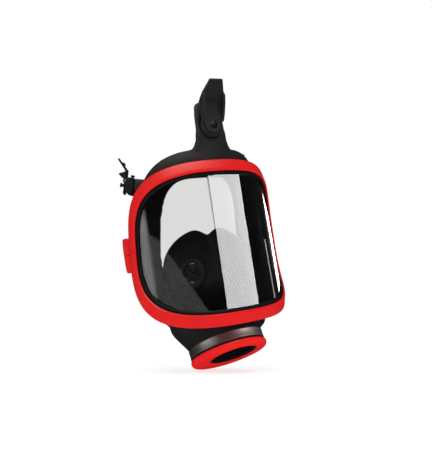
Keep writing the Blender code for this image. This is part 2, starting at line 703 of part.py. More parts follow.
def nose_loop(half_width, top, bottom, side_y, top_y, bottom_y, shrink=0.0):
    """A loop of the nose cup, with a notch for the bridge of the nose in its upper edge."""
    middle = (top - bottom) / 2
    reach = (top + bottom) / 2 - shrink
    points = []
    for across, height in superellipse(half_width - shrink, reach, reach, 2.1, 2.3, 44):
        share = height / reach
        target = top_y if height > 0 else bottom_y
        notch = NOSE_NOTCH * max(0.0, share) ** 3 * math.exp(-(across / 8.0) ** 2)
        points.append((across, side_y + shrink + (target - side_y) * share ** 2, middle + height - notch))
    return points


def cheek_frame(side, sign):
    """Empty on a cheek of the nose cup, its Z pointing out of the cup."""
    frame = bpy.data.objects.new("cheek_axis_" + side, None)
    bpy.context.scene.collection.objects.link(frame)
    frame.location = Vector((sign * CHEEK_PLACE.x, CHEEK_PLACE.y, CHEEK_PLACE.z)) * MM
    outward = Vector((sign * CHEEK_NORMAL.x, CHEEK_NORMAL.y, CHEEK_NORMAL.z)).normalized()
    frame.rotation_mode = "QUATERNION"
    frame.rotation_quaternion = outward.to_track_quat("Z", "Y")
    return frame


def cheek_valve(cup, side, sign):
    """Round check valve that lets fresh air into the nose cup: a seat ring and a soft disc inside it."""
    frame = cheek_frame(side, sign)
    boss = tool(turned("cheek_boss_" + side, [(0.0, -4.0), (CHEEK_RADIUS + 2.6, -4.0), (CHEEK_RADIUS + 2.6,
                                                                                        1.0),
                                              (0.0, 1.0)], 24), frame)
    combine(cup, boss, "UNION")
    hole = tool(turned("cheek_hole_" + side, [(0.0, -14.0), (CHEEK_RADIUS + GAP, -14.0), (CHEEK_RADIUS + GAP,
                                                                                          8.0),
                                              (0.0, 8.0)], 24), frame)
    combine(cup, hole, "DIFFERENCE")
    rim = CHEEK_RADIUS
    seat = add_object("cheek_valve_seat_" + side, turned("cheek_valve_seat_" + side, [
        (rim, -3.6), (rim, 1.3), (rim + 1.4, 1.3), (rim + 1.4, 2.3), (rim - 1.8, 2.3), (rim - 1.8,
                                                                                        -3.6)][::-1], 24),
        "black_plastic", frame)
    for index in range(2):
        spoke = tool(prism("cheek_spoke_%s_%d" % (side, index), rounded_box(rim - 1.0, 0.9, 0.4, 1), -1.4,
                           1.0), frame)
        spoke.rotation_euler = (0.0, 0.0, math.radians(45.0 + 90.0 * index))
        combine(seat, spoke, "UNION")
    combine(seat, tool(prism("cheek_hub_" + side, circle(2.4, count=16), -1.5, 1.2), frame), "UNION")
    combine(seat, tool(prism("cheek_stem_hole_" + side, circle(1.3, count=16), -6.0, 6.0), frame),
            "DIFFERENCE")
    inner = -1.5 - GAP
    add_object("cheek_valve_disc_" + side, turned("cheek_valve_disc_" + side, [
        (0.0, inner - 1.2), (rim - 2.2, inner - 0.6), (rim - 2.2, inner), (0.9, inner),
        (0.9, 1.2 + GAP + CHEEK_LIFT), (1.2, 1.8 + CHEEK_LIFT), (0.8, 2.6 + CHEEK_LIFT), (0.0,
            2.8 + CHEEK_LIFT)], 20),
        "silicone", frame)


# ---------------------------------------------------------------- forehead hook

def hook_section(y, z, half_width, across):
    """Corner points of the hook's strip at one place of its side profile; across is its thickness direction."""
    dy, dz = across
    half = HOOK_THICKNESS / 2
    edge = 0.6
    points = []
    for x, t in ((half_width - edge, half), (half_width, half - edge), (half_width, edge - half),
                 (half_width - edge, -half),
                 (edge - half_width, -half), (-half_width, edge - half), (-half_width,
                     half - edge), (edge - half_width, half)):
        points.append((x, y + dy * t, z + dz * t))
    return points


def forehead_hook():
    """Helmet hook: a flat foot held by a stud, a throat between two cheeks and a plate that leans forward."""
    pivot = Vector((0.0, HOOK_FOOT_Y, HOOK_PIVOT_Z))
    path = [(0.0, -7.2, 2.2), (0.0, -6.4, 4.4), (0.0, -4.6, 6.2), (0.0, -1.5, 7.4), (0.0, 3.0, 8.4),
            (0.0, 9.0, 10.4),
            (0.0, 15.5, 11.4), (-1.5, 20.0, 11.6), (-5.5, 23.2, 11.4), (-9.0, 26.8, 10.4), (-17.4, 35.0,
                                                                                            6.4)]
    loops = []
    for index, (y, z, half_width) in enumerate(path):
        before = Vector(path[max(index - 1, 0)][:2])
        after = Vector(path[min(index + 1, len(path) - 1)][:2])
        along = (after - before).normalized()
        loops.append(hook_section(y, z, half_width, (along.y, -along.x)))
    hook = add_object("forehead_hook", loft("forehead_hook", loops), "black_plastic", None, pivot)
    web = [(0.4, 2.0), (0.4, 18.0), (-4.0, 23.4), (-9.0, 27.0), (-10.8, 23.5), (-8.6, 16.0), (-4.4, 7.0),
           (-1.6, 3.0)]
    for side, sign in SIDES.items():
        low, high = sorted((sign * 8.9, sign * 11.1))
        cheek = tool(prism("hook_cheek_" + side, web, low, high, "X"), None, pivot)
        combine(hook, cheek, "UNION")
    hole = tool(prism("hook_stud_hole", circle(HOOK_STUD_RADIUS + GAP, count=16), -6.0, 6.0, "Y"), None,
                pivot)
    combine(hook, hole, "DIFFERENCE")
    front = HOOK_FOOT_Y + HOOK_THICKNESS / 2 + GAP
    disc = turned("hook_disc", [
        (HOOK_STUD_RADIUS + GAP, 0.0), (HOOK_DISC_RADIUS - 1.2, 0.0), (HOOK_DISC_RADIUS - 0.4, 0.6),
        (HOOK_DISC_RADIUS - 0.4, 1.6), (HOOK_DISC_RADIUS, 1.6), (HOOK_DISC_RADIUS,
                                                                 TONGUE_BACK - front + 0.3),
        (HOOK_STUD_RADIUS + GAP, TONGUE_BACK - front + 0.3)][::-1], 24)
    disc.transform(Matrix.Rotation(math.radians(-90.0), 4, "X"))
    add_object("hook_disc", disc, "black_plastic", None, (0.0, front, HOOK_PIVOT_Z))
    back = TONGUE_BACK + 0.3 + GAP
    stud = turned("hook_stud", [
        (0.0, -1.6), (2.0, -1.4), (3.4, -0.6), (3.6, -GAP), (HOOK_STUD_RADIUS, -GAP),
        (HOOK_STUD_RADIUS, back - HOOK_FOOT_Y + HOOK_THICKNESS / 2), (0.0,
            back - HOOK_FOOT_Y + HOOK_THICKNESS / 2)], 16)
    stud.transform(Matrix.Rotation(math.radians(-90.0), 4, "X"))
    stud_item = add_object("hook_stud", stud, "steel", None,
                           (0.0, HOOK_FOOT_Y - HOOK_THICKNESS / 2, HOOK_PIVOT_Z))
    washer = turned("hook_washer_solid", [(0.0, 0.0), (HOOK_DISC_RADIUS + 1.8, 0.0), (HOOK_DISC_RADIUS + 1.8,
                                                                                      1.0),
                                          (HOOK_DISC_RADIUS + 1.2, 1.5), (0.0, 1.5)], 24)
    washer.transform(Matrix.Rotation(math.radians(-90.0), 4, "X"))
    combine(stud_item, tool(washer, None, (0.0, back, HOOK_PIVOT_Z)), "UNION")


# ---------------------------------------------------------------- helmet adapters at the temples

def adapter_frame(side, sign):
    """Empty at a bracket's centre with X pointing away from the face, Y along the head and Z up."""
    frame = bpy.data.objects.new("adapter_axis_" + side, None)
    bpy.context.scene.collection.objects.link(frame)
    frame.location = Vector((sign * ADAPTER_CENTRE.x, ADAPTER_CENTRE.y, ADAPTER_CENTRE.z)) * MM
    heading = math.pi - ADAPTER_HEADING if sign > 0 else ADAPTER_HEADING
    # lean the frame's Z towards the face, then turn its X to the side
    lean = Matrix.Rotation(-ADAPTER_LEAN, 4, "Y")
    frame.rotation_euler = (Matrix.Rotation(heading, 4, "Z") @ lean).to_euler()
    return frame


def adapter(side, sign, body):
    """Bracket on a rubber tab, the latch lever on its pin and the stud that holds them."""
    frame = adapter_frame(side, sign)
    half = BRACKET_THICKNESS / 2
    tab = tool(prism("temple_tab_" + side, rounded_box(7.0, 6.5, 3.0), -half - 14.0, -half - GAP, "X"),
               frame)
    combine(body, tab, "UNION")
    tab_hole = tool(prism("temple_hole_" + side, circle(4.4, count=16), -half - 4.6, -half + 1.0, "X"),
                    frame)
    combine(body, tab_hole, "DIFFERENCE")

    depth = BRACKET_DEPTH / 2
    outline = [(-half, -8.6), (half - 1.4, -7.4), (half, -6.0), (half, 4.4), (half - 1.6, 6.4), (-half, 7.0)]
    bracket = add_object("adapter_bracket_" + side, prism("adapter_bracket_" + side, outline, -depth, depth,
                                                          "Y"),
                         "black_plastic", frame)
    ear = [(half - 0.5, 0.0), (half - 0.5, 6.2), (half + 1.6, 6.0), (half + 2.6, 4.8), (half + 2.6, 2.4),
           (half + 1.0, 0.0)]
    for place in (-1, 1):
        low, high = sorted((place * (depth - EAR_THICKNESS), place * depth))
        combine(bracket, tool(prism("bracket_ear_%s_%d" % (side, place), ear, low, high, "Y"), frame),
                "UNION")
    knob = tool(turned("bracket_knob_" + side, [(0.0, 5.0), (1.2, 5.0), (1.2, 8.4), (2.0, 8.8), (2.0, 9.8),
                                                (0.0, 9.8)], 10),
                frame, (2.4 - half, 0.0, 0.0))
    combine(bracket, knob, "UNION")
    for place in (-1, 1):
        cutter = tool(prism("pin_hole_%s_%d" % (side, place), circle(PIN_RADIUS + GAP, (PIN_X, PIN_Z), 12),
                            place * 4.0, place * 10.0, "Y"), frame)
        combine(bracket, cutter, "DIFFERENCE")
    groove = tool(prism("barrel_groove_" + side, circle(BARREL_RADIUS + GAP, (PIN_X, PIN_Z), 14),
                        EAR_THICKNESS - depth, depth - EAR_THICKNESS, "Y"), frame)
    combine(bracket, groove, "DIFFERENCE")
    stud_hole = tool(prism("bracket_stud_hole_" + side, circle(STUD_RADIUS + GAP, count=12), -12.0, 12.0,
                           "X"), frame)
    combine(bracket, stud_hole, "DIFFERENCE")

    pin = turned("latch_pin_" + side, [(0.0, -depth - 0.5), (1.5, -depth - 0.5), (1.5, -depth - 0.5 + 0.2),
                                       (PIN_RADIUS, -depth - GAP), (PIN_RADIUS, depth + 0.4), (0.0,
                                           depth + 0.4)], 12)
    pin_item = add_object("latch_pin_" + side, pin, "steel", frame, (PIN_X, 0.0, PIN_Z))
    pin_item.rotation_euler = (math.radians(90.0), 0.0, 0.0)
    latch_lever(side, frame)

    tip = half + 5.8
    stud = turned("adapter_stud_" + side, [
        (0.0, -half - 4.2), (4.0, -half - 4.2), (4.0, -half - GAP), (STUD_RADIUS, -half - GAP),
        (STUD_RADIUS, tip - 1.6), (2.1, tip - 1.2), (2.1, tip - 0.3), (1.6, tip), (0.0, tip)], 16)
    stud.transform(Matrix.Rotation(math.radians(90.0), 4, "Y"))
    add_object("adapter_stud_" + side, stud, "black_plastic", frame)


def latch_lever(side, frame):
    """Thin bent lever: a lower leg with a window for the stud, a catch nose and an upper leg that leans out."""
    half_width = BRACKET_DEPTH / 2 - EAR_THICKNESS - GAP
    inner, outer = -0.75, 0.75
    outline = [
        (inner, -11.8), (outer, -11.8), (outer, 1.6), (6.4, 5.4), (6.0, 6.6), (outer, 8.6), (outer + 0.2,
                                                                                             9.4),
        (8.9, 19.2), (7.8, 20.4), (inner - 0.1, 10.6), (inner, 9.8),
    ]
    place = (PIN_X, 0.0, PIN_Z)
    lever = add_object("latch_lever_" + side, prism("latch_lever_" + side, outline, -half_width, half_width,
                                                    "Y"),
                       "black_plastic", frame, place)
    barrel = tool(prism("latch_barrel_" + side, circle(BARREL_RADIUS, count=14), -half_width, half_width,
                        "Y"), frame, place)
    combine(lever, barrel, "UNION")
    bump = tool(prism("latch_bump_" + side, circle(1.4, (3.6, 15.6), 10), -3.0, 3.0, "Y"), frame, place)
    combine(lever, bump, "UNION")
    pin_hole = tool(prism("latch_hole_" + side, circle(PIN_RADIUS + GAP, count=12), -10.0, 10.0, "Y"), frame,
                    place)
    combine(lever, pin_hole, "DIFFERENCE")
    window = tool(prism("latch_window_" + side, rounded_box(2.8, 2.8, 2.2), -4.0, 4.0, "X"), frame,
                  (PIN_X, 0.0, 0.0))
    combine(lever, window, "DIFFERENCE")


def build():
    clear_scene()
    port = port_frame()
    body = facepiece()
    lens()
    frame_half("lens_frame_upper", True)
    frame_half("lens_frame_lower", False)
    frame_fasteners()
    connector(port)
    clamp(port)
    nose_cup(port)
    forehead_hook()
    for side, sign in SIDES.items():
        adapter(side, sign, body)


build()
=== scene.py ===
"""Full face respirator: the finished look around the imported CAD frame.

Lengths are in millimetres until a mesh is made. +Z runs up the lens, -Y out through it, and X is across.
"""
import json
import math

import bmesh
import bpy
from mathutils import Matrix, Vector

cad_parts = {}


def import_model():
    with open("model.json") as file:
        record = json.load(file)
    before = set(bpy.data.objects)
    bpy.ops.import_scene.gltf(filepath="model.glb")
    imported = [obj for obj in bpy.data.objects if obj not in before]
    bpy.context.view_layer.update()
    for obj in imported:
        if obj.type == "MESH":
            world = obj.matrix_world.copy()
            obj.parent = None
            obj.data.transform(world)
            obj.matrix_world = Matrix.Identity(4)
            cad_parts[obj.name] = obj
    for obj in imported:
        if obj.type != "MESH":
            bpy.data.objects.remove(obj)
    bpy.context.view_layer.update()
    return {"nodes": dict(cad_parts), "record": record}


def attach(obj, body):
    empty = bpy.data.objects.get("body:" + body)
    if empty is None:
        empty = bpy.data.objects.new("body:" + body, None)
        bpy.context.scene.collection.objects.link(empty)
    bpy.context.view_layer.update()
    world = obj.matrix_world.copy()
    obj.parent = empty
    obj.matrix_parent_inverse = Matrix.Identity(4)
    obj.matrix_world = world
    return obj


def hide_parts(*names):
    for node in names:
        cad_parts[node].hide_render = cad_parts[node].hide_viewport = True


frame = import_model()

MM = 0.001
SIDES = {"left": 1.0, "right": -1.0}

# ---- outline of the lens, drawn flat and wrapped on cylinders about Z
FRAME_RADIUS = 80.0
HALF_ARC = 91.8
TOP_HEIGHT = 58.3
BOTTOM_HEIGHT = 62.9
CORNER_TOP = 3.5            # powers of the outline's upper and lower corners: more is squarer
CORNER_BOTTOM = 2.8
TAPER = 0.06 / 51.8
AROUND = 168                # points around the outline
LENS_OUTER = 76.6
LENS_THICKNESS = 2.4

# ---- gasket and red frame: sections as (offset from the outline, radius)
GASKET_SECTION = (
    (-2.4, 77.0), (-3.0, 77.2), (-3.1, 77.6), (-2.6, 78.0), (-1.6, 78.15), (0.0, 77.9),
    (8.2, 75.3), (8.4, 75.0), (8.4, 73.0), (4.4, 73.0), (4.4, 70.9), (1.4, 70.1),
    (-2.0, 72.4), (-3.0, 73.1), (-3.1, 73.6), (-2.6, 74.1), (2.3, 74.1), (2.3, 76.75),
)
BAND_WIDTH = 10.5
FRAME_SECTION = (
    (-0.1, 78.7), (0.0, 79.3), (0.35, 79.8), (0.9, 80.05), (1.6, 80.05), (3.0, 79.75),
    (8.4, 78.3), (9.4, 77.9), (10.1, 77.4), (10.45, 76.7), (BAND_WIDTH, 76.0), (BAND_WIDTH, 71.8),
    (10.2, 71.3), (9.8, 71.2), (4.9, 71.2), (4.9, 72.6), (8.8, 72.6), (8.8, 75.9),
)
PARTING_GAP = 0.3
LUG_ANGLE = math.radians(76.8)
LUG_RADIUS = 73.4
LUG_LEVELS = (              # height, and half size along and across the lug's radius
    (0.0, 5.0, 5.4), (7.0, 5.0, 5.4), (12.0, 4.7, 5.1), (14.3, 4.4, 4.8), (14.9, 4.0, 4.4), (15.0, 3.7, 4.1),
)
LUG_BORE = ((0.0, -2.0), (1.8, -2.0), (1.8, 7.0), (3.3, 7.0), (3.3, 20.0), (0.0, 20.0))

# ---- rubber shell, front rows: offset from the lens outline, radius and extra height at the top
# ---- other rows: half width, top, bottom, depth at the temples, the forehead and the chin, two corner
# ---- powers, and how late the depth changes from the temples to the middle
SHELL_FRONT = ((7.0, 70.0, 10.0), (8.5, 66.5, 15.0))
SHELL_OUTSIDE = (
    (63.0, 81.0, 82.0, -14.0, -50.0, -26.0, 3.0, 2.1),
    (63.0, 76.0, 83.0, 2.0, -38.0, 0.0, 2.8, 1.9),
    (61.0, 73.0, 82.0, 9.0, -33.0, 11.0, 2.6, 1.9),
    (57.0, 69.0, 77.0, 10.0, -32.0, 12.0, 2.6, 1.9),
    (51.0, 64.0, 73.5, -6.0, -38.0, 11.5, 2.9, 1.9, 1.5),
    (42.5, 59.5, 70.0, -20.0, -46.0, 9.5, 4.2, 1.6, 1.1),
)
SHELL_INSIDE = (
    (43.0, 60.0, 71.0, -22.0, -48.0, 7.5, 4.2, 1.6, 1.1),
    (52.0, 66.0, 75.0, -9.0, -42.0, 8.8, 2.9, 1.9, 1.5),
    (58.0, 71.0, 78.4, 2.0, -37.0, 8.6, 2.6, 1.95),
    (59.5, 73.0, 80.0, -1.0, -40.0, -2.0, 2.8, 1.95),
    (60.0, 78.0, 79.0, -14.0, -50.0, -26.0, 3.0, 2.1),
)
SHELL_MIDDLE = (
    (61.5, 79.5, 80.5, -14.0, -50.0, -26.0, 3.0, 2.1),
    (61.2, 74.5, 81.5, 0.0, -39.0, -1.0, 2.8, 1.92),
    (59.0, 71.5, 79.5, 6.0, -35.0, 8.5, 2.6, 1.92),
)
SHELL_BACK_OF_FRAME = (4.0, 65.5, 13.0)
SHELL_RIM = ((1.4, 69.6, 2.0), (2.6, 72.2), (5.0, 72.4), (5.0, 70.6))
MIDDLE_FRONT = ((2.0, 71.0), (5.6, 66.0, 14.0))
SHELL_VOXEL = 1.2
SHELL_EASING = 8

# ---- connector, along the port axis
PORT_CENTRE = Vector((0.0, -36.8, -97.0))
PORT_TILT = math.radians(18.4)
PORT_OFFSET = -6.5
PORT_RADIUS = 20.3
PORT_TUBE = 22.0
TUBE_END = -4.2
TUBE_TOP = 3.7
LIP_END = -5.4
LIP_OUTER = 21.1
LIP_ROUND = 0.15
THREAD_START = 0.5
THREAD_PITCH = 3.6
THREAD_DEPTH = 0.9
THREAD_HALF_WIDTH = 0.28    # of the pitch
THREAD_FADE = (1.8, 1.5)    # length over which the ridge rises at the mouth and ends inside
NECK_RADIUS = 33.3
CLAMP_RADIUS = 34.2
HOUSING_RADIUS = 30.3
SOCKET_PLAY = 0.3
AXIS_POINTS = 96            # points around the neck and the port
BELL_PROFILE = (
    (0.0, -4.4), (10.0, -4.4), (22.0, -3.1), (29.0, -1.9), (30.6, -1.5), (30.6, -0.1), (30.8, 0.0),
    (34.0, 0.0), (34.5, -0.15), (34.85, -0.5), (35.0, -1.0), (35.0, -2.2), (34.9, -2.9), (34.65, -3.5),
    (34.25, -4.05), (33.6, -4.5), (32.7, -4.85), (31.5, -5.1), (29.0, -5.45), (25.5, -5.8), (22.0, -6.1),
    (16.0, -6.45), (10.0, -6.8), (0.0, -6.8),
)
BELL_LOWEST = (34.4, -4.0)
MOUTH_PROFILE = (
    (0.0, -20.0), (22.4, -20.0), (22.4, -6.6), (22.0, -6.0), (21.6, -5.6), (21.4, -5.1), (21.4, 1.0),
    (0.0, 1.0),
)
EXHAUST_SLOTS = 5
EXHAUST_STEP = 20.0
EXHAUST_RADIUS = 25.0
EXHAUST_SIZE = (3.4, 1.3, 1.2)
BAND_HEIGHT = 5.45
BAND_BACK = 0.45            # the band's middle line lies this far inside the clamp radius
BAND_GAP = math.radians(4.0)
BAND_STEPS = 120
BAND_SECTION = (            # outward, upward
    (-0.42, -3.3), (-0.3, -3.7), (0.1, -3.75), (0.45, -3.55), (0.5, -3.0), (0.36, -2.4), (0.33, 0.0),
    (0.36, 2.4), (0.5, 3.0), (0.45, 3.55), (0.1, 3.75), (-0.3, 3.7), (-0.42, 3.3),
)
EAR_REACHES = (0.6, 1.4, 3.0, 5.0, 7.0)
EAR_BEND = 1.4
CLAMP_SCREW_REACH = 4.2

# ---- nose cup: half width, top, bottom, depth at the sides, the nose and the chin
CUP_ROWS = (
    (44.5, 17.0, 58.0, -22.0, -31.0, 6.0),
    (45.0, 16.0, 60.5, -25.0, -35.0, 0.0),
    (42.0, 13.0, 61.0, -29.5, -41.0, -8.0),
    (34.5, 7.0, 58.0, -36.0, -48.0, -20.0),
    (26.0, -2.0, 53.0, -46.0, -55.0, -36.0),
    (15.0, -12.0, 45.0, -54.0, -60.0, -48.0),
    (6.0, -19.0, 37.0, -57.0, -61.0, -54.0),
)
CUP_AROUND = 112
CUP_WALL = 2.0
CUP_VOXEL = 0.9
CUP_EASING = 4
BRIDGE_NOTCH = 7.0
BRIDGE_WIDTH = 8.0
COLLAR_OFFSET = 16.2
COLLAR_RADIUS = 10.0
SLEEVE_RADIUS = 12.0
CHEEK_PLACE = Vector((27.0, -44.0, -24.0))
CHEEK_NORMAL = Vector((0.80, -0.60, 0.02))
CHEEK_BOSS = 13.1
CHEEK_HOLE = 10.8

# ---- forehead tongue, hook and helmet adapters
PIVOT_Z = 100.5
TONGUE_FRONT = -70.5
TONGUE_BACK = -66.5
TONGUE_TOP = 123.0
TONGUE_HALF_WIDTH = 12.7
TONGUE_CORNER = 6.0
TONGUE_WIDTHS = (           # half width, height
    (33.0, 69.0), (30.0, 72.0), (26.0, 75.0), (22.0, 78.0), (18.8, 81.0), (16.6, 84.5), (15.5, 88.0),
    (14.8, 92.0), (14.3, 98.0), (13.8, 106.0), (13.1, 114.0),
)
TONGUE_FOOT_TOP = 97.0      # below this height the tongue starts to follow the dome
TONGUE_FOOT_LENGTH = 20.0
TONGUE_DOME = 140.0         # twice the radius of the dome under the foot
TONGUE_CREASE = 0.11        # slope of the foot on either side of its crease
TONGUE_RISE = 0.6
TONGUE_SINK = 2.0           # the back of the foot goes this much further into the shell
DISC_RADIUS = 10.0
DISC_FRONT = -73.7
DISC_PROFILE = (
    (2.3, 0.0), (7.2, 0.0), (7.6, 0.25), (8.6, 0.25), (9.3, 0.5), (9.6, 0.9), (9.6, 1.6),
    (DISC_RADIUS, 1.8), (DISC_RADIUS, 7.2), (9.7, 7.5), (2.3, 7.5),
)
ADAPTER_CENTRE = Vector((59.5, -13.0, 63.5))
ADAPTER_HEADING = 150.0
ADAPTER_LEAN = 15.0
TAB_SIZE = (7.0, 6.5, 3.0)  # half sizes and corner radius of a temple tab
TAB_REACH = (-17.5, -3.8)   # along the adapter's own X
STUD_HOLE = 4.4
STUD_REACH = (-8.1, -2.5)
HOOK_VOXEL = 0.45
ADAPTER_VOXEL = 0.4

# ---- shading
WORN_EDGE = (0.515, 0.60)   # pointiness at which wear starts and is full
EDGE_BEVEL = 0.12

# ---- camera
CAMERA_AZIMUTH = math.radians(-30.0)
CAMERA_ELEVATION = math.radians(-6.56)
CAMERA_ROLL = math.radians(9.38)
CAMERA_DISTANCE = 604.8
CAMERA_SHIFT = (25.25, 17.06)
SENSOR = 36.0
FOCAL = 49.63
TO_CAMERA = Vector((math.sin(CAMERA_AZIMUTH) * math.cos(CAMERA_ELEVATION),
                    -math.cos(CAMERA_AZIMUTH) * math.cos(CAMERA_ELEVATION), math.sin(CAMERA_ELEVATION)))
LEVEL_RIGHT = Vector((math.cos(CAMERA_AZIMUTH), math.sin(CAMERA_AZIMUTH), 0.0))
LEVEL_UP = TO_CAMERA.cross(LEVEL_RIGHT)
IMAGE_RIGHT = LEVEL_RIGHT * math.cos(CAMERA_ROLL) - LEVEL_UP * math.sin(CAMERA_ROLL)
IMAGE_UP = LEVEL_RIGHT * math.sin(CAMERA_ROLL) + LEVEL_UP * math.cos(CAMERA_ROLL)

# ---- floor, lights and room
WHITE = (1.0, 1.0, 1.0)
WARM = (1.0, 0.96, 0.86)
FLOOR_TILT = -8.5           # the floor climbs towards the camera, which stands low
FLOOR_REACH = 3000.0
FLOOR_SINK = 0.4
FLOOR_GLOW = 0.71
LIGHT_DISTANCE = 900.0
LIGHT_TARGET = Vector((0.0, -30.0, 0.0))
AMBIENT = 0.72
WINDOW_DIRECTION = (-97.0, 5.0)
WINDOW_ANGLES = (1.0, 13.0)  # where the mirrored window starts to fade and where it ends
WINDOW_LEVEL = 2.4
DARK_LEVEL = 0.02
CARD_LEAN = 0.155
CARD_START = 0.0022
CARD_WIDTH = 0.07
CARD_LEVEL = 0.30
CARD_EDGE = 0.0015


# ---------------------------------------------------------------- mesh helpers

def build_mesh(name, points, faces, sharp=40.0):
    """A smooth-shaded mesh from points in millimetres."""
    shape = bmesh.new()
    verts = [shape.verts.new(Vector(point) * MM) for point in points]
    for face in faces:
        shape.faces.new([verts[index] for index in face])
    bmesh.ops.recalc_face_normals(shape, faces=shape.faces)
    mesh = bpy.data.meshes.new(name)
    shape.to_mesh(mesh)
    shape.free()
    mesh.shade_smooth()
    mesh.set_sharp_from_angle(angle=math.radians(sharp))
    return mesh


def add(name, mesh, matrix=None):
    """Link a mesh as an object, placed by a matrix in metres."""
    item = bpy.data.objects.new(name, mesh)
    bpy.context.scene.collection.objects.link(item)
    if matrix is not None:
        item.matrix_world = matrix
    return item


def loft(name, loops, ring=False, caps="fan", matrix=None, sharp=40.0):
    """Bridge loops of equal length; caps are a fan to the middle or one flat face."""
    count = len(loops[0])
    points = [Vector(point) for loop in loops for point in loop]
    faces = []
    for level in range(len(loops) if ring else len(loops) - 1):
        low = level * count
        high = ((level + 1) % len(loops)) * count
        for index in range(count):
            after = (index + 1) % count
            faces.append((low + index, low + after, high + after, high + index))
    ends = (0, len(points) - count)
    if not ring and caps == "flat":
        faces += [tuple(range(start, start + count)) for start in ends]
    elif not ring:
        for start in ends:
            points.append(sum(points[start:start + count], Vector()) / count)
            faces += [(start + index, start + (index + 1) % count, len(points) - 1) for index in range(count)]
    return add(name, build_mesh(name, points, faces, sharp), matrix)


def turned(name, profile, matrix=None, segments=96):
    """Turn a closed profile of (radius, height) about Z, or one that starts and ends on Z."""
    closed = profile[0][0] > 0.0
    rings = profile if closed else profile[1:-1]
    loops = [[(x, y, height) for x, y in circle(radius, segments)] for radius, height in rings]
    return loft(name, loops, closed, "flat", matrix)


def prism(name, outline, low, high, axis="Z", matrix=None):
    """Extrude a flat outline along an axis."""
    orders = {
        "X": lambda a, b, level: (level, a, b),
        "Y": lambda a, b, level: (a, level, b),
        "Z": lambda a, b, level: (a, b, level),
    }
    loops = [[orders[axis](a, b, level) for a, b in outline] for level in (low, high)]
    return loft(name, loops, False, "flat", matrix)


def circle(radius, count=64, start=0.0):
    """Points of a circle, turned by a share of a step."""
    steps = [2 * math.pi * (index + start) / count for index in range(count)]
    return [(radius * math.cos(a), radius * math.sin(a)) for a in steps]


def rounded_box(half_width, half_height, radius):
    """Outline of a rectangle with round corners."""
    steps = 6
    points = []
    for sign_x, sign_y, start in ((1, 1, 0.0), (-1, 1, 90.0), (-1, -1, 180.0), (1, -1, 270.0)):
        for step in range(steps + 1):
            angle = math.radians(start + 90.0 * step / steps)
            points.append((sign_x * (half_width - radius) + radius * math.cos(angle),
                           sign_y * (half_height - radius) + radius * math.sin(angle)))
    return points


def combine(item, other, operation):
    """Join another solid to a piece, or cut it out."""
    step = item.modifiers.new(other.name, "BOOLEAN")
    step.operation = operation
    step.solver = "EXACT"
    step.object = other
    other.hide_render = True


def soften(item, voxel, rounds):
    """Turn a piece into even quads and ease its edges, as a mould does."""
    grid = item.modifiers.new("grid", "REMESH")
    grid.mode = "VOXEL"
    grid.voxel_size = voxel * MM
    grid.use_smooth_shade = True
    ease = item.modifiers.new("ease", "SMOOTH")
    ease.factor = 0.5
    ease.iterations = rounds


def settle(item):
    """Apply a piece's modifiers and remove the solids they used."""
    tools = [step.object for step in item.modifiers if step.type == "BOOLEAN"]
    graph = bpy.context.evaluated_depsgraph_get()
    graph.update()
    mesh = bpy.data.meshes.new_from_object(item.evaluated_get(graph), depsgraph=graph)
    item.modifiers.clear()
    item.data = mesh
    mesh.name = item.name
    for other in tools:
        bpy.data.objects.remove(other)
    return item


def curve_through(loops, steps):
    """Add loops between the given ones on Catmull-Rom curves through their matching points."""
    result = []
    last = len(loops) - 1
    for index in range(last):
        four = [loops[max(index - 1, 0)], loops[index], loops[index + 1], loops[min(index + 2, last)]]
        for step in range(steps):
            t = step / steps
            weights = (
                -t + 2 * t ** 2 - t ** 3,
                2 - 5 * t ** 2 + 3 * t ** 3,
                t + 4 * t ** 2 - 3 * t ** 3,
                t ** 3 - t ** 2,
            )
            result.append([sum((Vector(loop[k]) * w * 0.5 for loop, w in zip(four, weights)), Vector())
                           for k in range(len(loops[0]))])
    result.append([Vector(point) for point in loops[-1]])
    return result


# ---------------------------------------------------------------- outlines

def evenly_spaced(curve, count):
    """Pick points at equal distances along a dense curve."""
    lengths = [0.0]
    for before, after in zip(curve, curve[1:]):
        lengths.append(lengths[-1] + math.dist(before, after))
    chosen = []
    place = 0
    for index in range(count):
        target = lengths[-1] * index / count
        while lengths[place + 1] < target:
            place += 1
        part = (target - lengths[place]) / (lengths[place + 1] - lengths[place])
        chosen.append(tuple(a + (b - a) * part for a, b in zip(curve[place], curve[place + 1])))
    return chosen


def superellipse(half_width, top, bottom, corner_top, corner_bottom, count=AROUND):
    """Closed outline with its quarters sampled alike, so that any two of them can be bridged."""
    dense = 240
    points = []
    for quarter in range(4):
        upper = quarter < 2
        height = top if upper else bottom
        power = 2.0 / (corner_top if upper else corner_bottom)
        curve = []
        for step in range(dense + 1):
            angle = math.radians(90.0 * quarter + 90.0 * step / dense)
            across = math.copysign(abs(math.cos(angle)) ** power, math.cos(angle))
            along = math.copysign(abs(math.sin(angle)) ** power, math.sin(angle))
            curve.append((half_width * across, height * along))
        points += evenly_spaced(curve, count // 4)
    return points


def lens_loop(offset, radius, top_extra=0.0, share=1.0):
    """The frame's outline, widened by an offset and wrapped on a cylinder about Z."""
    outline = superellipse(HALF_ARC + offset, TOP_HEIGHT + offset + top_extra, BOTTOM_HEIGHT + offset,
                           CORNER_TOP, CORNER_BOTTOM)
    points = []
    for along, height in outline:
        angle = share * along * (1.0 - TAPER * height) / FRAME_RADIUS
        points.append((radius * math.sin(angle), -radius * math.cos(angle), height * share))
    return points


def face_loop(half_width, top, bottom, side_y, top_y, bottom_y, corner_top, corner_bottom, bend=2.0):
    """A loop around the face, with its own depth at the temples, the forehead and the chin."""
    points = []
    for across, height in superellipse(half_width, top, bottom, corner_top, corner_bottom):
        share = height / top if height > 0 else -height / bottom
        target = top_y if height > 0 else bottom_y
        points.append((across, side_y + (target - side_y) * share ** bend, height))
    return points


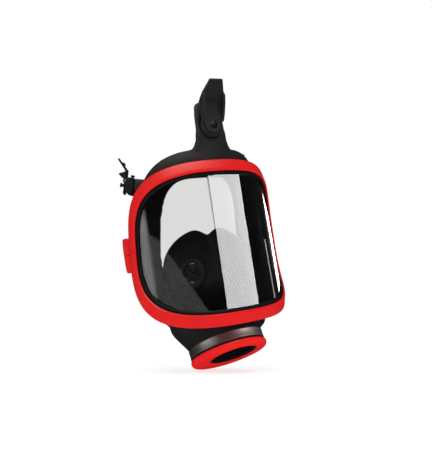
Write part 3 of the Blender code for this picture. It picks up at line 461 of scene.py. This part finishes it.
def port_matrix(x=0.0, y=0.0, z=0.0):
    """Places a piece on the port axis, whose +Z points up into the mask."""
    place = Matrix.Translation(PORT_CENTRE * MM) @ Matrix.Rotation(-PORT_TILT, 4, "X")
    return place @ Matrix.Translation(Vector((x, y, z)) * MM)


# ---------------------------------------------------------------- materials

class Nodes:
    """A small builder of one material's node tree."""

    def __init__(self, name):
        """Start a material whose textures follow the object."""
        self.material = bpy.data.materials.new(name)
        self.material.use_nodes = True
        self.tree = self.material.node_tree
        self.shader = self.tree.nodes["Principled BSDF"]
        self.place = self.new("ShaderNodeTexCoord").outputs["Object"]

    def new(self, kind, **values):
        """Add a node and set its properties."""
        node = self.tree.nodes.new(kind)
        for key, value in values.items():
            setattr(node, key, value)
        return node

    def link(self, source, target):
        """Join an output to an input."""
        self.tree.links.new(source, target)

    def noise(self, scale, detail=3.0, stretch=(1.0, 1.0, 1.0)):
        """Noise of so many lumps a metre, longer where stretch is small."""
        mapping = self.new("ShaderNodeMapping")
        mapping.inputs["Scale"].default_value = stretch
        self.link(self.place, mapping.inputs["Vector"])
        texture = self.new("ShaderNodeTexNoise")
        texture.inputs["Scale"].default_value = scale
        texture.inputs["Detail"].default_value = detail
        self.link(mapping.outputs["Vector"], texture.inputs["Vector"])
        return texture.outputs["Fac"]

    def spread(self, source, low, high, from_low=0.3, from_high=0.7):
        """Map a value to another range."""
        node = self.new("ShaderNodeMapRange")
        node.inputs["From Min"].default_value = from_low
        node.inputs["From Max"].default_value = from_high
        node.inputs["To Min"].default_value = low
        node.inputs["To Max"].default_value = high
        self.link(source, node.inputs["Value"])
        return node.outputs["Result"]

    def blend(self, factor, first, second):
        """Mix two colours."""
        node = self.new("ShaderNodeMix", data_type="RGBA")
        colours = [socket for socket in node.inputs if socket.type == "RGBA"]
        for socket, value in zip(colours, (first, second)):
            if hasattr(value, "is_output"):
                self.link(value, socket)
            else:
                socket.default_value = (*value, 1.0)
        self.link(factor, node.inputs["Factor"])
        return [socket for socket in node.outputs if socket.type == "RGBA"][0]

    def bump(self, source, strength, distance, below=None):
        """Raise the surface by a texture, over another bump if there is one."""
        node = self.new("ShaderNodeBump")
        node.inputs["Strength"].default_value = strength
        node.inputs["Distance"].default_value = distance * MM
        self.link(source, node.inputs["Height"])
        if below is not None:
            self.link(below, node.inputs["Normal"])
        return node.outputs["Normal"]

    def edges(self):
        """How much of a worn edge a point is."""
        return self.spread(self.new("ShaderNodeNewGeometry").outputs["Pointiness"], 0.0, 1.0, *WORN_EDGE)


def moulded(name, colour, lighter, roughness, grain=0.05, lump=0.02, wear=0.35, specular=0.5):
    """Moulded plastic or rubber: fine grain, slow waviness, dull patches and paler worn edges."""
    made = Nodes(name)
    fine = made.noise(1600.0, 3.0)
    slow = made.noise(45.0, 2.0)
    patches = made.spread(made.noise(18.0, 4.0), 0.0, 1.0)
    body = made.blend(patches, colour, lighter)
    worn = made.new("ShaderNodeMath", operation="MULTIPLY")
    worn.inputs[1].default_value = wear
    made.link(made.edges(), worn.inputs[0])
    pale = tuple(min(1.0, value * 1.5 + 0.02) for value in lighter)
    made.link(made.blend(worn.outputs[0], body, pale), made.shader.inputs["Base Color"])
    dull = made.spread(made.noise(70.0, 5.0), roughness - 0.05, roughness + 0.07)
    made.link(dull, made.shader.inputs["Roughness"])
    relief = made.bump(slow, lump, 1.0)
    made.link(made.bump(fine, grain, 0.15, relief), made.shader.inputs["Normal"])
    made.shader.inputs["Specular IOR Level"].default_value = specular
    return made.material


def metal(name, colour, roughness, stretch):
    """Rolled or turned steel with fine lines along its stretch and dull spots."""
    made = Nodes(name)
    lines = made.noise(900.0, 4.0, stretch)
    stains = made.spread(made.noise(60.0, 5.0), 0.0, 1.0, 0.45, 0.75)
    dull = tuple(value * 0.72 for value in colour)
    made.link(made.blend(stains, colour, dull), made.shader.inputs["Base Color"])
    made.shader.inputs["Metallic"].default_value = 1.0
    made.link(made.spread(lines, roughness - 0.08, roughness + 0.1), made.shader.inputs["Roughness"])
    made.link(made.bump(lines, 0.12, 0.05), made.shader.inputs["Normal"])
    return made.material


def clear_lens(name):
    """Polished polycarbonate, faintly tinted, with hairline wipe marks in its gloss."""
    made = Nodes(name)
    made.shader.inputs["Base Color"].default_value = (0.78, 0.785, 0.775, 1.0)
    made.shader.inputs["Transmission Weight"].default_value = 1.0
    made.shader.inputs["IOR"].default_value = 1.55
    marks = made.noise(260.0, 5.0, (1.0, 1.0, 0.15))
    made.link(made.spread(marks, 0.0, 0.02, 0.55, 0.8), made.shader.inputs["Roughness"])
    made.link(made.bump(made.noise(25.0, 1.0, (1.0, 1.0, 0.5)), 0.01, 0.3), made.shader.inputs["Normal"])
    return made.material


RUBBER = moulded("facepiece rubber", (0.009, 0.009, 0.010), (0.015, 0.015, 0.016), 0.46,
                 grain=0.10, lump=0.05, wear=0.30, specular=0.28)
SILICONE = moulded("nose cup silicone", (0.007, 0.007, 0.008), (0.011, 0.011, 0.012), 0.52,
                   grain=0.06, lump=0.05, wear=0.2, specular=0.2)
FLAP = moulded("valve silicone", (0.012, 0.012, 0.014), (0.018, 0.018, 0.020), 0.38,
               grain=0.04, lump=0.03, wear=0.2, specular=0.3)
RED = moulded("red frame plastic", (0.71, 0.004, 0.005), (0.79, 0.006, 0.007), 0.36,
              wear=0.06, specular=0.2)
# The bell is the frame's red plastic painted paler: painted light standing in for the light its downward face
# misses.
PAINTED_LIGHT_BELL_RED = moulded("red plastic with painted light on the bell", (0.80, 0.005, 0.005), (0.88, 0.008, 0.007), 0.38,
                   grain=0.06, wear=0.06, specular=0.2)
BLACK = moulded("black plastic", (0.005, 0.005, 0.007), (0.009, 0.009, 0.012), 0.34,
                lump=0.03, wear=0.4, specular=0.3)
HOOK_BLACK = moulded("hook plastic", (0.014, 0.014, 0.015), (0.020, 0.020, 0.021), 0.42,
                     grain=0.08, lump=0.03, wear=0.5, specular=0.3)
GREY = moulded("valve seat plastic", (0.16, 0.16, 0.17), (0.20, 0.20, 0.21), 0.40, wear=0.3)
BAND_STEEL = metal("clamp band steel", (0.40, 0.38, 0.365), 0.48, (0.12, 0.12, 3.0))
GASKET = moulded("lens gasket rubber", (0.005, 0.005, 0.005), (0.008, 0.008, 0.008), 0.50,
                 grain=0.06, lump=0.04, wear=0.2, specular=0.12)
SCREW_STEEL = metal("screw steel", (0.50, 0.49, 0.48), 0.30, (1.0, 1.0, 0.2))
DARK_STEEL = metal("stud steel", (0.10, 0.10, 0.105), 0.36, (1.0, 1.0, 1.0))
LENS = clear_lens("polycarbonate")


def finish_piece(item, material, body, slot, *nodes):
    """Give a piece its material and body, and hide the CAD nodes it stands for. The slot is not used."""
    item.data.materials.clear()
    item.data.materials.append(material)
    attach(item, body)
    if nodes:
        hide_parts(*nodes)
    return item


# ---------------------------------------------------------------- rubber facepiece

def inner_space():
    """The space inside the shell, out to the middle of its wall."""
    front = [lens_loop(*row) for row in MIDDLE_FRONT]
    return loft("inner_space", front + [face_loop(*row) for row in SHELL_MIDDLE])


def port_loop(radius, height):
    """A circle about the port axis, in the object's frame."""
    turn = Matrix.Rotation(-PORT_TILT, 4, "X")
    return [PORT_CENTRE + turn @ Vector((x, y, height)) for x, y in circle(radius, AXIS_POINTS)]


def chin_loop(half_width, half_depth, centre_y, height):
    """A level oval under the chin, started at the same place as a port loop."""
    return [Vector((x * half_width, centre_y + y * half_depth, height)) for x, y in circle(1.0, AXIS_POINTS)]


def adapter_matrix(sign):
    """Frame at a helmet adapter's centre: X away from the face, Y along the head, Z up."""
    heading = 180.0 - ADAPTER_HEADING if sign > 0 else ADAPTER_HEADING
    turn = Matrix.Rotation(math.radians(heading), 4, "Z")
    lean = Matrix.Rotation(-math.radians(ADAPTER_LEAN), 4, "Y")
    place = Vector((sign * ADAPTER_CENTRE.x, ADAPTER_CENTRE.y, ADAPTER_CENTRE.z)) * MM
    return Matrix.Translation(place) @ turn @ lean


def tongue_solid():
    """Forehead tongue: a strap that follows the dome at its foot, with a crease down its middle."""
    widths = list(TONGUE_WIDTHS)
    for step in range(9):
        angle = math.radians(90.0 * step / 8)
        widths.append((TONGUE_HALF_WIDTH - TONGUE_CORNER + TONGUE_CORNER * math.cos(angle),
                       TONGUE_TOP - TONGUE_CORNER + TONGUE_CORNER * math.sin(angle)))
    shares = [step / 12 - 1.0 for step in range(25)]
    sections = []
    for width, height in widths:
        foot = min(1.0, max(0.0, (TONGUE_FOOT_TOP - height) / TONGUE_FOOT_LENGTH))
        foot = foot * foot * (3.0 - 2.0 * foot)
        front = []
        back = []
        for x in [share * width for share in shares]:
            bow = foot * (x ** 2 / TONGUE_DOME + TONGUE_CREASE * abs(x) - TONGUE_RISE)
            front.append((x, TONGUE_FRONT + bow, height))
            back.append((x, TONGUE_BACK + bow + TONGUE_SINK * foot, height))
        sections.append(front + back[::-1])
    return loft("tongue_solid", sections, caps="flat")


def shell():
    """Wall of the rubber body, turned in at the back as the face seal and grooved in front for the gasket."""
    outside = [lens_loop(*row) for row in SHELL_FRONT] + [face_loop(*row) for row in SHELL_OUTSIDE]
    inside = [face_loop(*row) for row in SHELL_INSIDE] + [lens_loop(*SHELL_BACK_OF_FRAME)]
    rim = [lens_loop(*row) for row in SHELL_RIM]
    return loft("facepiece_shell", curve_through(outside, 4) + curve_through(inside, 4) + rim, ring=True)


def neck_solid():
    """Solid neck between the chin and the clamp band, without what would stand inside the shell."""
    collar = [port_loop(CLAMP_RADIUS, 0.3), port_loop(CLAMP_RADIUS, 1.2), port_loop(NECK_RADIUS, 1.6)]
    flare = [port_loop(NECK_RADIUS, 10.0), port_loop(NECK_RADIUS + 0.8, 11.5),
             chin_loop(44.0, 36.0, -28.0, -76.0), chin_loop(46.0, 36.0, -26.0, -64.0)]
    neck = loft("neck_solid", collar + curve_through(flare, 6), caps="flat")
    combine(neck, inner_space(), "DIFFERENCE")
    return settle(neck)


def neck_bore():
    """What is cut out of the neck for the connector housing and the air."""
    radius = HOUSING_RADIUS + SOCKET_PLAY
    loops = [port_loop(radius, -2.0), port_loop(radius, 13.0),
             chin_loop(38.0, 31.0, -28.0, -77.0), chin_loop(38.0, 30.0, -28.0, -60.0)]
    return loft("neck_bore", loops, caps="flat")


def facepiece():
    """Moulded rubber body: shell with a turned-in face seal, neck, forehead tongue and temple tabs."""
    body = shell()
    combine(body, neck_solid(), "UNION")
    combine(body, neck_bore(), "DIFFERENCE")
    combine(body, tongue_solid(), "UNION")
    for side, sign in SIDES.items():
        tab = prism("temple_tab_" + side, rounded_box(*TAB_SIZE), *TAB_REACH, "X", adapter_matrix(sign))
        combine(body, tab, "UNION")
        hole = prism("temple_hole_" + side, circle(STUD_HOLE), *STUD_REACH, "X", adapter_matrix(sign))
        combine(body, hole, "DIFFERENCE")
    round_hole = [(x, z + PIVOT_Z) for x, z in circle(DISC_RADIUS + SOCKET_PLAY)]
    combine(body, prism("tongue_hole", round_hole, -76.0, -60.0, "Y"), "DIFFERENCE")
    soften(body, SHELL_VOXEL, SHELL_EASING)
    settle(body)
    return finish_piece(body, RUBBER, "mask", "rubber", "facepiece_body")


def lens_gasket():
    """The rubber channel that holds the lens, with rounded lips inside the red frame."""
    loops = [lens_loop(offset, radius) for offset, radius in GASKET_SECTION]
    item = loft("lens_gasket", loops, ring=True, sharp=50.0)
    return finish_piece(item, GASKET, "mask", "rubber", "facepiece_body")


def visor():
    """Curved clear lens of even thickness, its edge hidden in the gasket."""
    shares = [0.06 + 0.91 * step / 15 for step in range(16)]
    radii = (LENS_OUTER, LENS_OUTER - LENS_THICKNESS)
    outer, inner = ([lens_loop(0.0, radius, 0.0, share) for share in shares] + [lens_loop(2.0, radius)]
                    for radius in radii)
    item = loft("visor", outer + inner[::-1], sharp=30.0)
    for vertex, radius in zip(item.data.vertices[-2:], radii):
        vertex.co = Vector((0.0, -radius, 0.0)) * MM
    return finish_piece(item, LENS, "mask", "lens", "lens")


# ---------------------------------------------------------------- red frame

def lug_matrix(sign):
    """Frame of a side lug: X out along the radius, Z up the clamping screw."""
    centre = Vector((sign * LUG_RADIUS * math.sin(LUG_ANGLE), -LUG_RADIUS * math.cos(LUG_ANGLE), 0.0))
    return Matrix.Translation(centre * MM) @ Matrix.Rotation(math.atan2(centre.y, centre.x), 4, "Z")


def frame_half(name, upper):
    """Half of the red channel, with a rounded nose around the window, and its two clamping lugs."""
    loops = [lens_loop(offset, radius) for offset, radius in FRAME_SECTION]
    half = AROUND // 2
    start = 0 if upper else half
    direction = 1.0 if upper else -1.0
    split = direction * PARTING_GAP / 2
    strip = []
    for index in range(half + 1):
        section = [Vector(loop[(start + index) % AROUND]) for loop in loops]
        if index in (0, half):
            section = [Vector((point.x, point.y, split)) for point in section]
        strip.append(section)
    item = loft(name, strip, caps="flat", sharp=30.0)
    for side, sign in SIDES.items():
        sections = [[(a * radial, b * sideways, direction * (height + PARTING_GAP / 2))
                     for a, b in circle(1.0, 48)] for height, radial, sideways in LUG_LEVELS]
        lug = loft(name + "_lug_" + side, sections, caps="flat", matrix=lug_matrix(sign))
        combine(item, lug, "UNION")
        steps = [(radius, direction * height) for radius, height in LUG_BORE]
        combine(item, turned(name + "_bore_" + side, steps, lug_matrix(sign), 40), "DIFFERENCE")
    settle(item)
    item.data.set_sharp_from_angle(angle=math.radians(30.0))
    return finish_piece(item, RED, "mask", name, name)


# ---------------------------------------------------------------- connector

def bell():
    """Red bell under the neck, with a soft outer edge, a round mouth and exhaust slots at the rear."""
    port = port_matrix(y=PORT_OFFSET)
    item = turned("bell", BELL_PROFILE, port_matrix(), 128)
    socket = prism("bell_socket", circle(PORT_TUBE + SOCKET_PLAY, AXIS_POINTS, 0.5), TUBE_END - SOCKET_PLAY,
                   2.0, "Z", port)
    combine(item, socket, "DIFFERENCE")
    combine(item, turned("bell_mouth", MOUTH_PROFILE, port, AXIS_POINTS), "DIFFERENCE")
    for index in range(EXHAUST_SLOTS):
        angle = math.radians(90.0 + EXHAUST_STEP * (index - EXHAUST_SLOTS // 2))
        place = port_matrix(EXHAUST_RADIUS * math.cos(angle), EXHAUST_RADIUS * math.sin(angle))
        slot = prism("exhaust_%d" % index, rounded_box(*EXHAUST_SIZE), -9.0, 1.0, "Z",
                     place @ Matrix.Rotation(angle, 4, "Z"))
        combine(item, slot, "DIFFERENCE")
    settle(item)
    item.data.set_sharp_from_angle(angle=math.radians(35.0))
    # the bell's paler red is painted light
    return finish_piece(item, PAINTED_LIGHT_BELL_RED, "mask", "bell", "connector_bell")


def port_insert():
    """Threaded tube of the port, with a rounded thread that winds up inside behind the bell's mouth."""
    low, high = LIP_END, TUBE_TOP
    rows = 72
    inner = []
    for row in range(rows + 1):
        height = low + THREAD_START + (high - low - THREAD_START) * row / rows
        fade = max(0.0, min(1.0, (height - low) / THREAD_FADE[0], (high - height) / THREAD_FADE[1]))
        ring = []
        for index in range(AXIS_POINTS):
            angle = 2 * math.pi * index / AXIS_POINTS
            turn = ((height - low) / THREAD_PITCH - index / AXIS_POINTS) % 1.0
            ridge = THREAD_DEPTH * max(0.0, 1.0 - abs(turn - 0.5) / THREAD_HALF_WIDTH) ** 0.6 * fade
            radius = PORT_RADIUS - ridge
            ring.append((radius * math.cos(angle), radius * math.sin(angle), height))
        inner.append(ring)
    rings = ((PORT_TUBE, high), (PORT_TUBE, TUBE_END), (LIP_OUTER, TUBE_END), (LIP_OUTER, low + LIP_ROUND),
             (LIP_OUTER - LIP_ROUND, low), (PORT_RADIUS + 0.2, low), (PORT_RADIUS + 0.05, low + LIP_ROUND))
    outer = [[(x, y, height) for x, y in circle(radius, AXIS_POINTS)] for radius, height in rings]
    item = loft("threaded_port", inner + outer, ring=True, matrix=port_matrix(y=PORT_OFFSET))
    return finish_piece(item, BLACK, "mask", "black_plastic", "port_insert")


def clamp_band():
    """Steel band with rolled edges around the neck, its ends folded out into two ears."""
    middle = CLAMP_RADIUS - BAND_BACK
    path = []
    for index in range(BAND_STEPS + 1):
        angle = math.radians(90.0) + BAND_GAP + (2 * math.pi - 2 * BAND_GAP) * index / BAND_STEPS
        outward = Vector((math.cos(angle), math.sin(angle), 0.0))
        path.append((outward * middle, outward))
    for at_end in (False, True):
        point = path[-1 if at_end else 0][0]
        side = 1.0 if at_end else -1.0
        ear = []
        for reach in EAR_REACHES:
            turn = min(1.0, reach / EAR_BEND)
            outward = Vector((side * turn, 1.0 - turn, 0.0)).normalized()
            ear.append((point + Vector((side * BAND_BACK * turn, reach, 0.0)), outward))
        path = path + ear if at_end else ear[::-1] + path
    sections = [[point + outward * out + Vector((0.0, 0.0, BAND_HEIGHT + up)) for out, up in BAND_SECTION]
                for point, outward in path]
    item = loft("clamp_band_rolled", sections, caps="flat", matrix=port_matrix(), sharp=50.0)
    screw_axis = port_matrix(0.0, CLAMP_RADIUS + CLAMP_SCREW_REACH, BAND_HEIGHT)
    combine(item, prism("clamp_hole", circle(1.6, 32), -20.0, 20.0, "X", screw_axis), "DIFFERENCE")
    settle(item)
    return finish_piece(item, BAND_STEEL, "mask", "steel", "clamp_band")


# ---------------------------------------------------------------- nose cup

def nose_loop(half_width, top, bottom, side_y, top_y, bottom_y, shrink=0.0):
    """A loop of the nose cup, with a notch for the bridge of the nose in its upper edge."""
    middle = (top - bottom) / 2
    reach = (top + bottom) / 2 - shrink
    points = []
    for across, height in superellipse(half_width - shrink, reach, reach, 2.1, 2.3, CUP_AROUND):
        share = height / reach
        target = top_y if height > 0 else bottom_y
        notch = BRIDGE_NOTCH * max(0.0, share) ** 3 * math.exp(-(across / BRIDGE_WIDTH) ** 2)
        points.append((across, side_y + shrink + (target - side_y) * share ** 2, middle + height - notch))
    return points


def nose_cup():
    """Soft inner half-mask with a sleeve on the exhalation collar and a boss in each cheek."""
    outside = curve_through([nose_loop(*row) for row in reversed(CUP_ROWS)], 4)
    inside = curve_through([nose_loop(*row, shrink=CUP_WALL) for row in CUP_ROWS], 4)
    item = loft("nose_cup_moulding", outside + inside)
    collar = port_matrix(y=COLLAR_OFFSET)
    combine(item, prism("cup_sleeve", circle(SLEEVE_RADIUS), 34.0, 47.0, "Z", collar), "UNION")
    hole = prism("cup_sleeve_hole", circle(COLLAR_RADIUS, 64, 0.5), 10.0, 54.0, "Z", collar)
    combine(item, hole, "DIFFERENCE")
    for side, sign in SIDES.items():
        place = Matrix.Translation(Vector((sign * CHEEK_PLACE.x, CHEEK_PLACE.y, CHEEK_PLACE.z)) * MM)
        outward = Vector((sign * CHEEK_NORMAL.x, CHEEK_NORMAL.y, CHEEK_NORMAL.z)).normalized()
        place = place @ outward.to_track_quat("Z", "Y").to_matrix().to_4x4()
        combine(item, prism("cheek_boss_" + side, circle(CHEEK_BOSS), -4.0, 1.0, "Z", place), "UNION")
        hole = prism("cheek_hole_" + side, circle(CHEEK_HOLE, 64, 0.5), -14.0, 8.0, "Z", place)
        combine(item, hole, "DIFFERENCE")
    soften(item, CUP_VOXEL, CUP_EASING)
    settle(item)
    return finish_piece(item, SILICONE, "mask", "cup_silicone", "nose_cup")


# ---------------------------------------------------------------- hook, adapters and carried-over CAD nodes

def moulding_of(name, node, material, slot, voxel, rounds):
    """A small moulded piece made from its CAD solid: evenly meshed, with its corners rounded."""
    source = frame["nodes"][node]
    item = add(name, source.data.copy(), source.matrix_world.copy())
    soften(item, voxel, rounds)
    settle(item)
    bodies = frame["record"]["behaviour"]["bodies"]
    body = next(key for key, members in bodies.items() if node in members)
    return finish_piece(item, material, body, slot, node)


def hook_disc():
    """Black button behind the hook, let into the tongue, with a turned rim."""
    place = Matrix.Translation(Vector((0.0, DISC_FRONT, PIVOT_Z)) * MM)
    item = turned("hook_button", DISC_PROFILE[::-1], place @ Matrix.Rotation(math.radians(-90.0), 4, "X"))
    return finish_piece(item, HOOK_BLACK, "mask", "black_plastic", "hook_disc")


def carry_over():
    """Give every CAD node that still shows a finished material, and ease the edges of its shading."""
    finishes = {"steel": SCREW_STEEL, "stud_steel": DARK_STEEL, "grey_plastic": GREY, "valve_silicone": FLAP,
                "black_plastic": BLACK, "cup_silicone": SILICONE, "rubber": RUBBER}
    slots = {part["node"]: part["material_slot"] for part in frame["record"]["subparts"]}
    for node, item in frame["nodes"].items():
        if item.hide_render:
            continue
        for place in item.material_slots:
            place.material = finishes[slots[node]]
        bevel = item.modifiers.new("edge", "BEVEL")
        bevel.width = EDGE_BEVEL * MM
        bevel.segments = 2
        bevel.limit_method = "ANGLE"
        bevel.angle_limit = math.radians(40.0)


# ---------------------------------------------------------------- camera, floor and lights

def basis(x_axis, y_axis, z_axis, origin):
    """A placing matrix from three axes and an origin in millimetres."""
    matrix = Matrix((x_axis, y_axis, z_axis)).transposed().to_4x4()
    matrix.translation = origin * MM
    return matrix


def camera():
    """The photographer's view: from the wearer's right, a little below, with the mask leaning."""
    data = bpy.data.cameras.new("camera")
    data.sensor_width = SENSOR
    data.lens = FOCAL
    item = bpy.data.objects.new("camera", data)
    bpy.context.scene.collection.objects.link(item)
    origin = TO_CAMERA * CAMERA_DISTANCE + LEVEL_RIGHT * CAMERA_SHIFT[0] + LEVEL_UP * CAMERA_SHIFT[1]
    item.matrix_world = basis(IMAGE_RIGHT, IMAGE_UP, TO_CAMERA, origin)
    bpy.context.scene.camera = item


def floor():
    """Large pale floor that the leaning mask touches at the lowest point of its bell."""
    tilt = math.radians(FLOOR_TILT)
    normal = IMAGE_UP * math.cos(tilt) + TO_CAMERA * math.sin(tilt)
    forward = TO_CAMERA * math.cos(tilt) - IMAGE_UP * math.sin(tilt)
    lowest = min(port_loop(*BELL_LOWEST), key=lambda point: point.dot(normal))
    origin = normal * (lowest.dot(normal) - FLOOR_SINK)
    signs = ((-1, -1), (1, -1), (1, 1), (-1, 1))
    mesh = build_mesh("floor", [(x * FLOOR_REACH, y * FLOOR_REACH, 0.0) for x, y in signs], [(0, 1, 2, 3)])
    item = add("floor", mesh, basis(IMAGE_RIGHT, -forward, normal, origin))
    made = Nodes("studio floor")
    # The floor is painted faintly cyan to cancel the red light the bell bounces onto it: a painted correction
    # of bounced light that keeps its shadow grey.
    paint = made.blend(made.noise(3.0, 2.0), (0.42, 0.46, 0.46), (0.45, 0.49, 0.49))
    made.link(paint, made.shader.inputs["Base Color"])
    made.shader.inputs["Roughness"].default_value = 0.9
    made.shader.inputs["Emission Color"].default_value = (1.0, 1.0, 1.0, 1.0)
    made.shader.inputs["Emission Strength"].default_value = FLOOR_GLOW
    item.data.materials.append(made.material)
    item.visible_glossy = False


def direction_of(azimuth, elevation):
    """Unit direction from the mask. Azimuth 0 is straight out of the lens, positive towards +X."""
    a, e = math.radians(azimuth), math.radians(elevation)
    return Vector((math.sin(a) * math.cos(e), -math.cos(a) * math.cos(e), math.sin(e)))


def softbox(name, azimuth, elevation, width, height, radiance, roll=0.0, colour=WHITE,
            diffuse=True, glossy=True, only=None):
    """Rectangular studio light of a given radiance, aimed at the lens, that may reach one piece only."""
    direction = direction_of(azimuth, elevation)
    data = bpy.data.lights.new(name, "AREA")
    data.shape = "RECTANGLE"
    data.size = width * MM
    data.size_y = height * MM
    data.energy = radiance * math.pi * data.size * data.size_y
    data.color = colour
    item = bpy.data.objects.new(name, data)
    bpy.context.scene.collection.objects.link(item)
    sideways = Vector((0.0, 0.0, 1.0)).cross(direction).normalized()
    upwards = direction.cross(sideways)
    turn = Matrix.Rotation(math.radians(roll), 3, direction)
    centre = LIGHT_TARGET + direction * LIGHT_DISTANCE
    item.matrix_world = basis(turn @ sideways, turn @ upwards, direction, centre)
    item.visible_camera = False
    item.visible_diffuse = diffuse
    item.visible_glossy = glossy
    item.visible_transmission = False
    if only:
        group = bpy.data.collections.new(name + "_receivers")
        group.objects.link(only)
        item.light_linking.receiver_collection = group


def world():
    """White room that lights the mask evenly, dark in reflections but for a window on the left.

    Through the lens the backdrop is white, with a grey card behind the part that mirrors the band light.
    """
    place = bpy.data.worlds.new("studio")
    place.use_nodes = True
    tree = place.node_tree
    sky = tree.nodes["Background"]
    sky.inputs["Color"].default_value = (1.0, 1.0, 1.0, 1.0)
    path = tree.nodes.new("ShaderNodeLightPath")
    direction = tree.nodes.new("ShaderNodeTexCoord").outputs["Generated"]

    def math_node(operation, first, second):
        """One sum of two sockets or numbers."""
        node = tree.nodes.new("ShaderNodeMath")
        node.operation = operation
        for socket, value in zip(node.inputs, (first, second)):
            if hasattr(value, "is_output"):
                tree.links.new(value, socket)
            else:
                socket.default_value = value
        return node.outputs[0]

    def rise(normal, start, end, level, blend):
        """From nothing to a level as the direction's share along a normal goes from start to end."""
        dot = tree.nodes.new("ShaderNodeVectorMath")
        dot.operation = "DOT_PRODUCT"
        tree.links.new(direction, dot.inputs[0])
        dot.inputs[1].default_value = normal
        ramp = tree.nodes.new("ShaderNodeMapRange")
        ramp.interpolation_type = blend
        ramp.inputs["From Min"].default_value = start
        ramp.inputs["From Max"].default_value = end
        ramp.inputs["To Max"].default_value = level
        tree.links.new(dot.outputs["Value"], ramp.inputs["Value"])
        return ramp.outputs["Result"]

    def side_of(normal, limit):
        """One where the direction lies beyond a limit along a normal, with a narrow soft edge."""
        return rise(normal, limit - CARD_EDGE, limit + CARD_EDGE, 1.0, "LINEAR")

    def either(choice, yes, no):
        """One value where the choice is one, and the other where it is nothing."""
        return math_node("ADD", math_node("MULTIPLY", math_node("SUBTRACT", 1.0, choice), no),
                         math_node("MULTIPLY", choice, yes))

    inner, outer = (math.cos(math.radians(angle)) for angle in WINDOW_ANGLES)
    window = rise(direction_of(*WINDOW_DIRECTION), outer, inner, WINDOW_LEVEL, "SMOOTHSTEP")
    mirrored = math_node("MAXIMUM", window, DARK_LEVEL)
    edge = IMAGE_RIGHT + IMAGE_UP * CARD_LEAN
    card = math_node("MULTIPLY", side_of(edge, CARD_START), side_of(-edge, -CARD_START - CARD_WIDTH))
    card = math_node("MULTIPLY", card, side_of(-TO_CAMERA, 0.9))
    backdrop = math_node("SUBTRACT", 1.0, math_node("MULTIPLY", card, 1.0 - CARD_LEVEL))
    bounces = math_node("ADD", path.outputs["Glossy Depth"], path.outputs["Diffuse Depth"])
    through = math_node("MULTIPLY", math_node("GREATER_THAN", path.outputs["Transmission Depth"], 0.5),
                        math_node("LESS_THAN", bounces, 0.5))
    lit = either(path.outputs["Is Glossy Ray"], mirrored, AMBIENT)
    lit = either(through, backdrop, lit)
    tree.links.new(math_node("MAXIMUM", lit, path.outputs["Is Camera Ray"]), sky.inputs["Strength"])
    bpy.context.scene.world = place


# ---------------------------------------------------------------- the mask and its studio

facepiece()
lens_gasket()
lens = visor()
frame_half("lens_frame_upper", True)
frame_half("lens_frame_lower", False)
bell()
port_insert()
clamp = clamp_band()
nose_cup()
hook_disc()
moulding_of("helmet_hook", "forehead_hook", HOOK_BLACK, "black_plastic", HOOK_VOXEL, 3)
for side in SIDES:
    moulding_of("helmet_bracket_" + side, "adapter_bracket_" + side, BLACK, "black_plastic", ADAPTER_VOXEL, 2)
    moulding_of("helmet_lever_" + side, "latch_lever_" + side, BLACK, "black_plastic", ADAPTER_VOXEL, 2)
carry_over()

camera()
floor()
world()
bpy.context.scene.view_settings.view_transform = "Standard"
softbox("band_light", 31.0, 2.0, 820.0, 1300.0, 11.5, -12.0, diffuse=False, only=lens)
softbox("rim_light", 121.0, -14.0, 290.0, 800.0, 8.0, -12.0, diffuse=False, only=lens)
softbox("rim_strip", 94.0, -16.0, 50.0, 670.0, 2.5, diffuse=False, only=lens)
softbox("clamp_light", 40.0, -4.0, 260.0, 700.0, 6.5, diffuse=False, only=clamp)
softbox("clamp_fill", -75.0, -4.0, 240.0, 700.0, 2.6, diffuse=False, only=clamp)
softbox("front_light", 10.0, 10.0, 500.0, 500.0, 1.2, glossy=False)
softbox("top_light", -20.0, 62.0, 900.0, 600.0, 0.7)
softbox("sheen_light", -20.0, 62.0, 900.0, 600.0, 12.0, colour=WARM, diffuse=False)
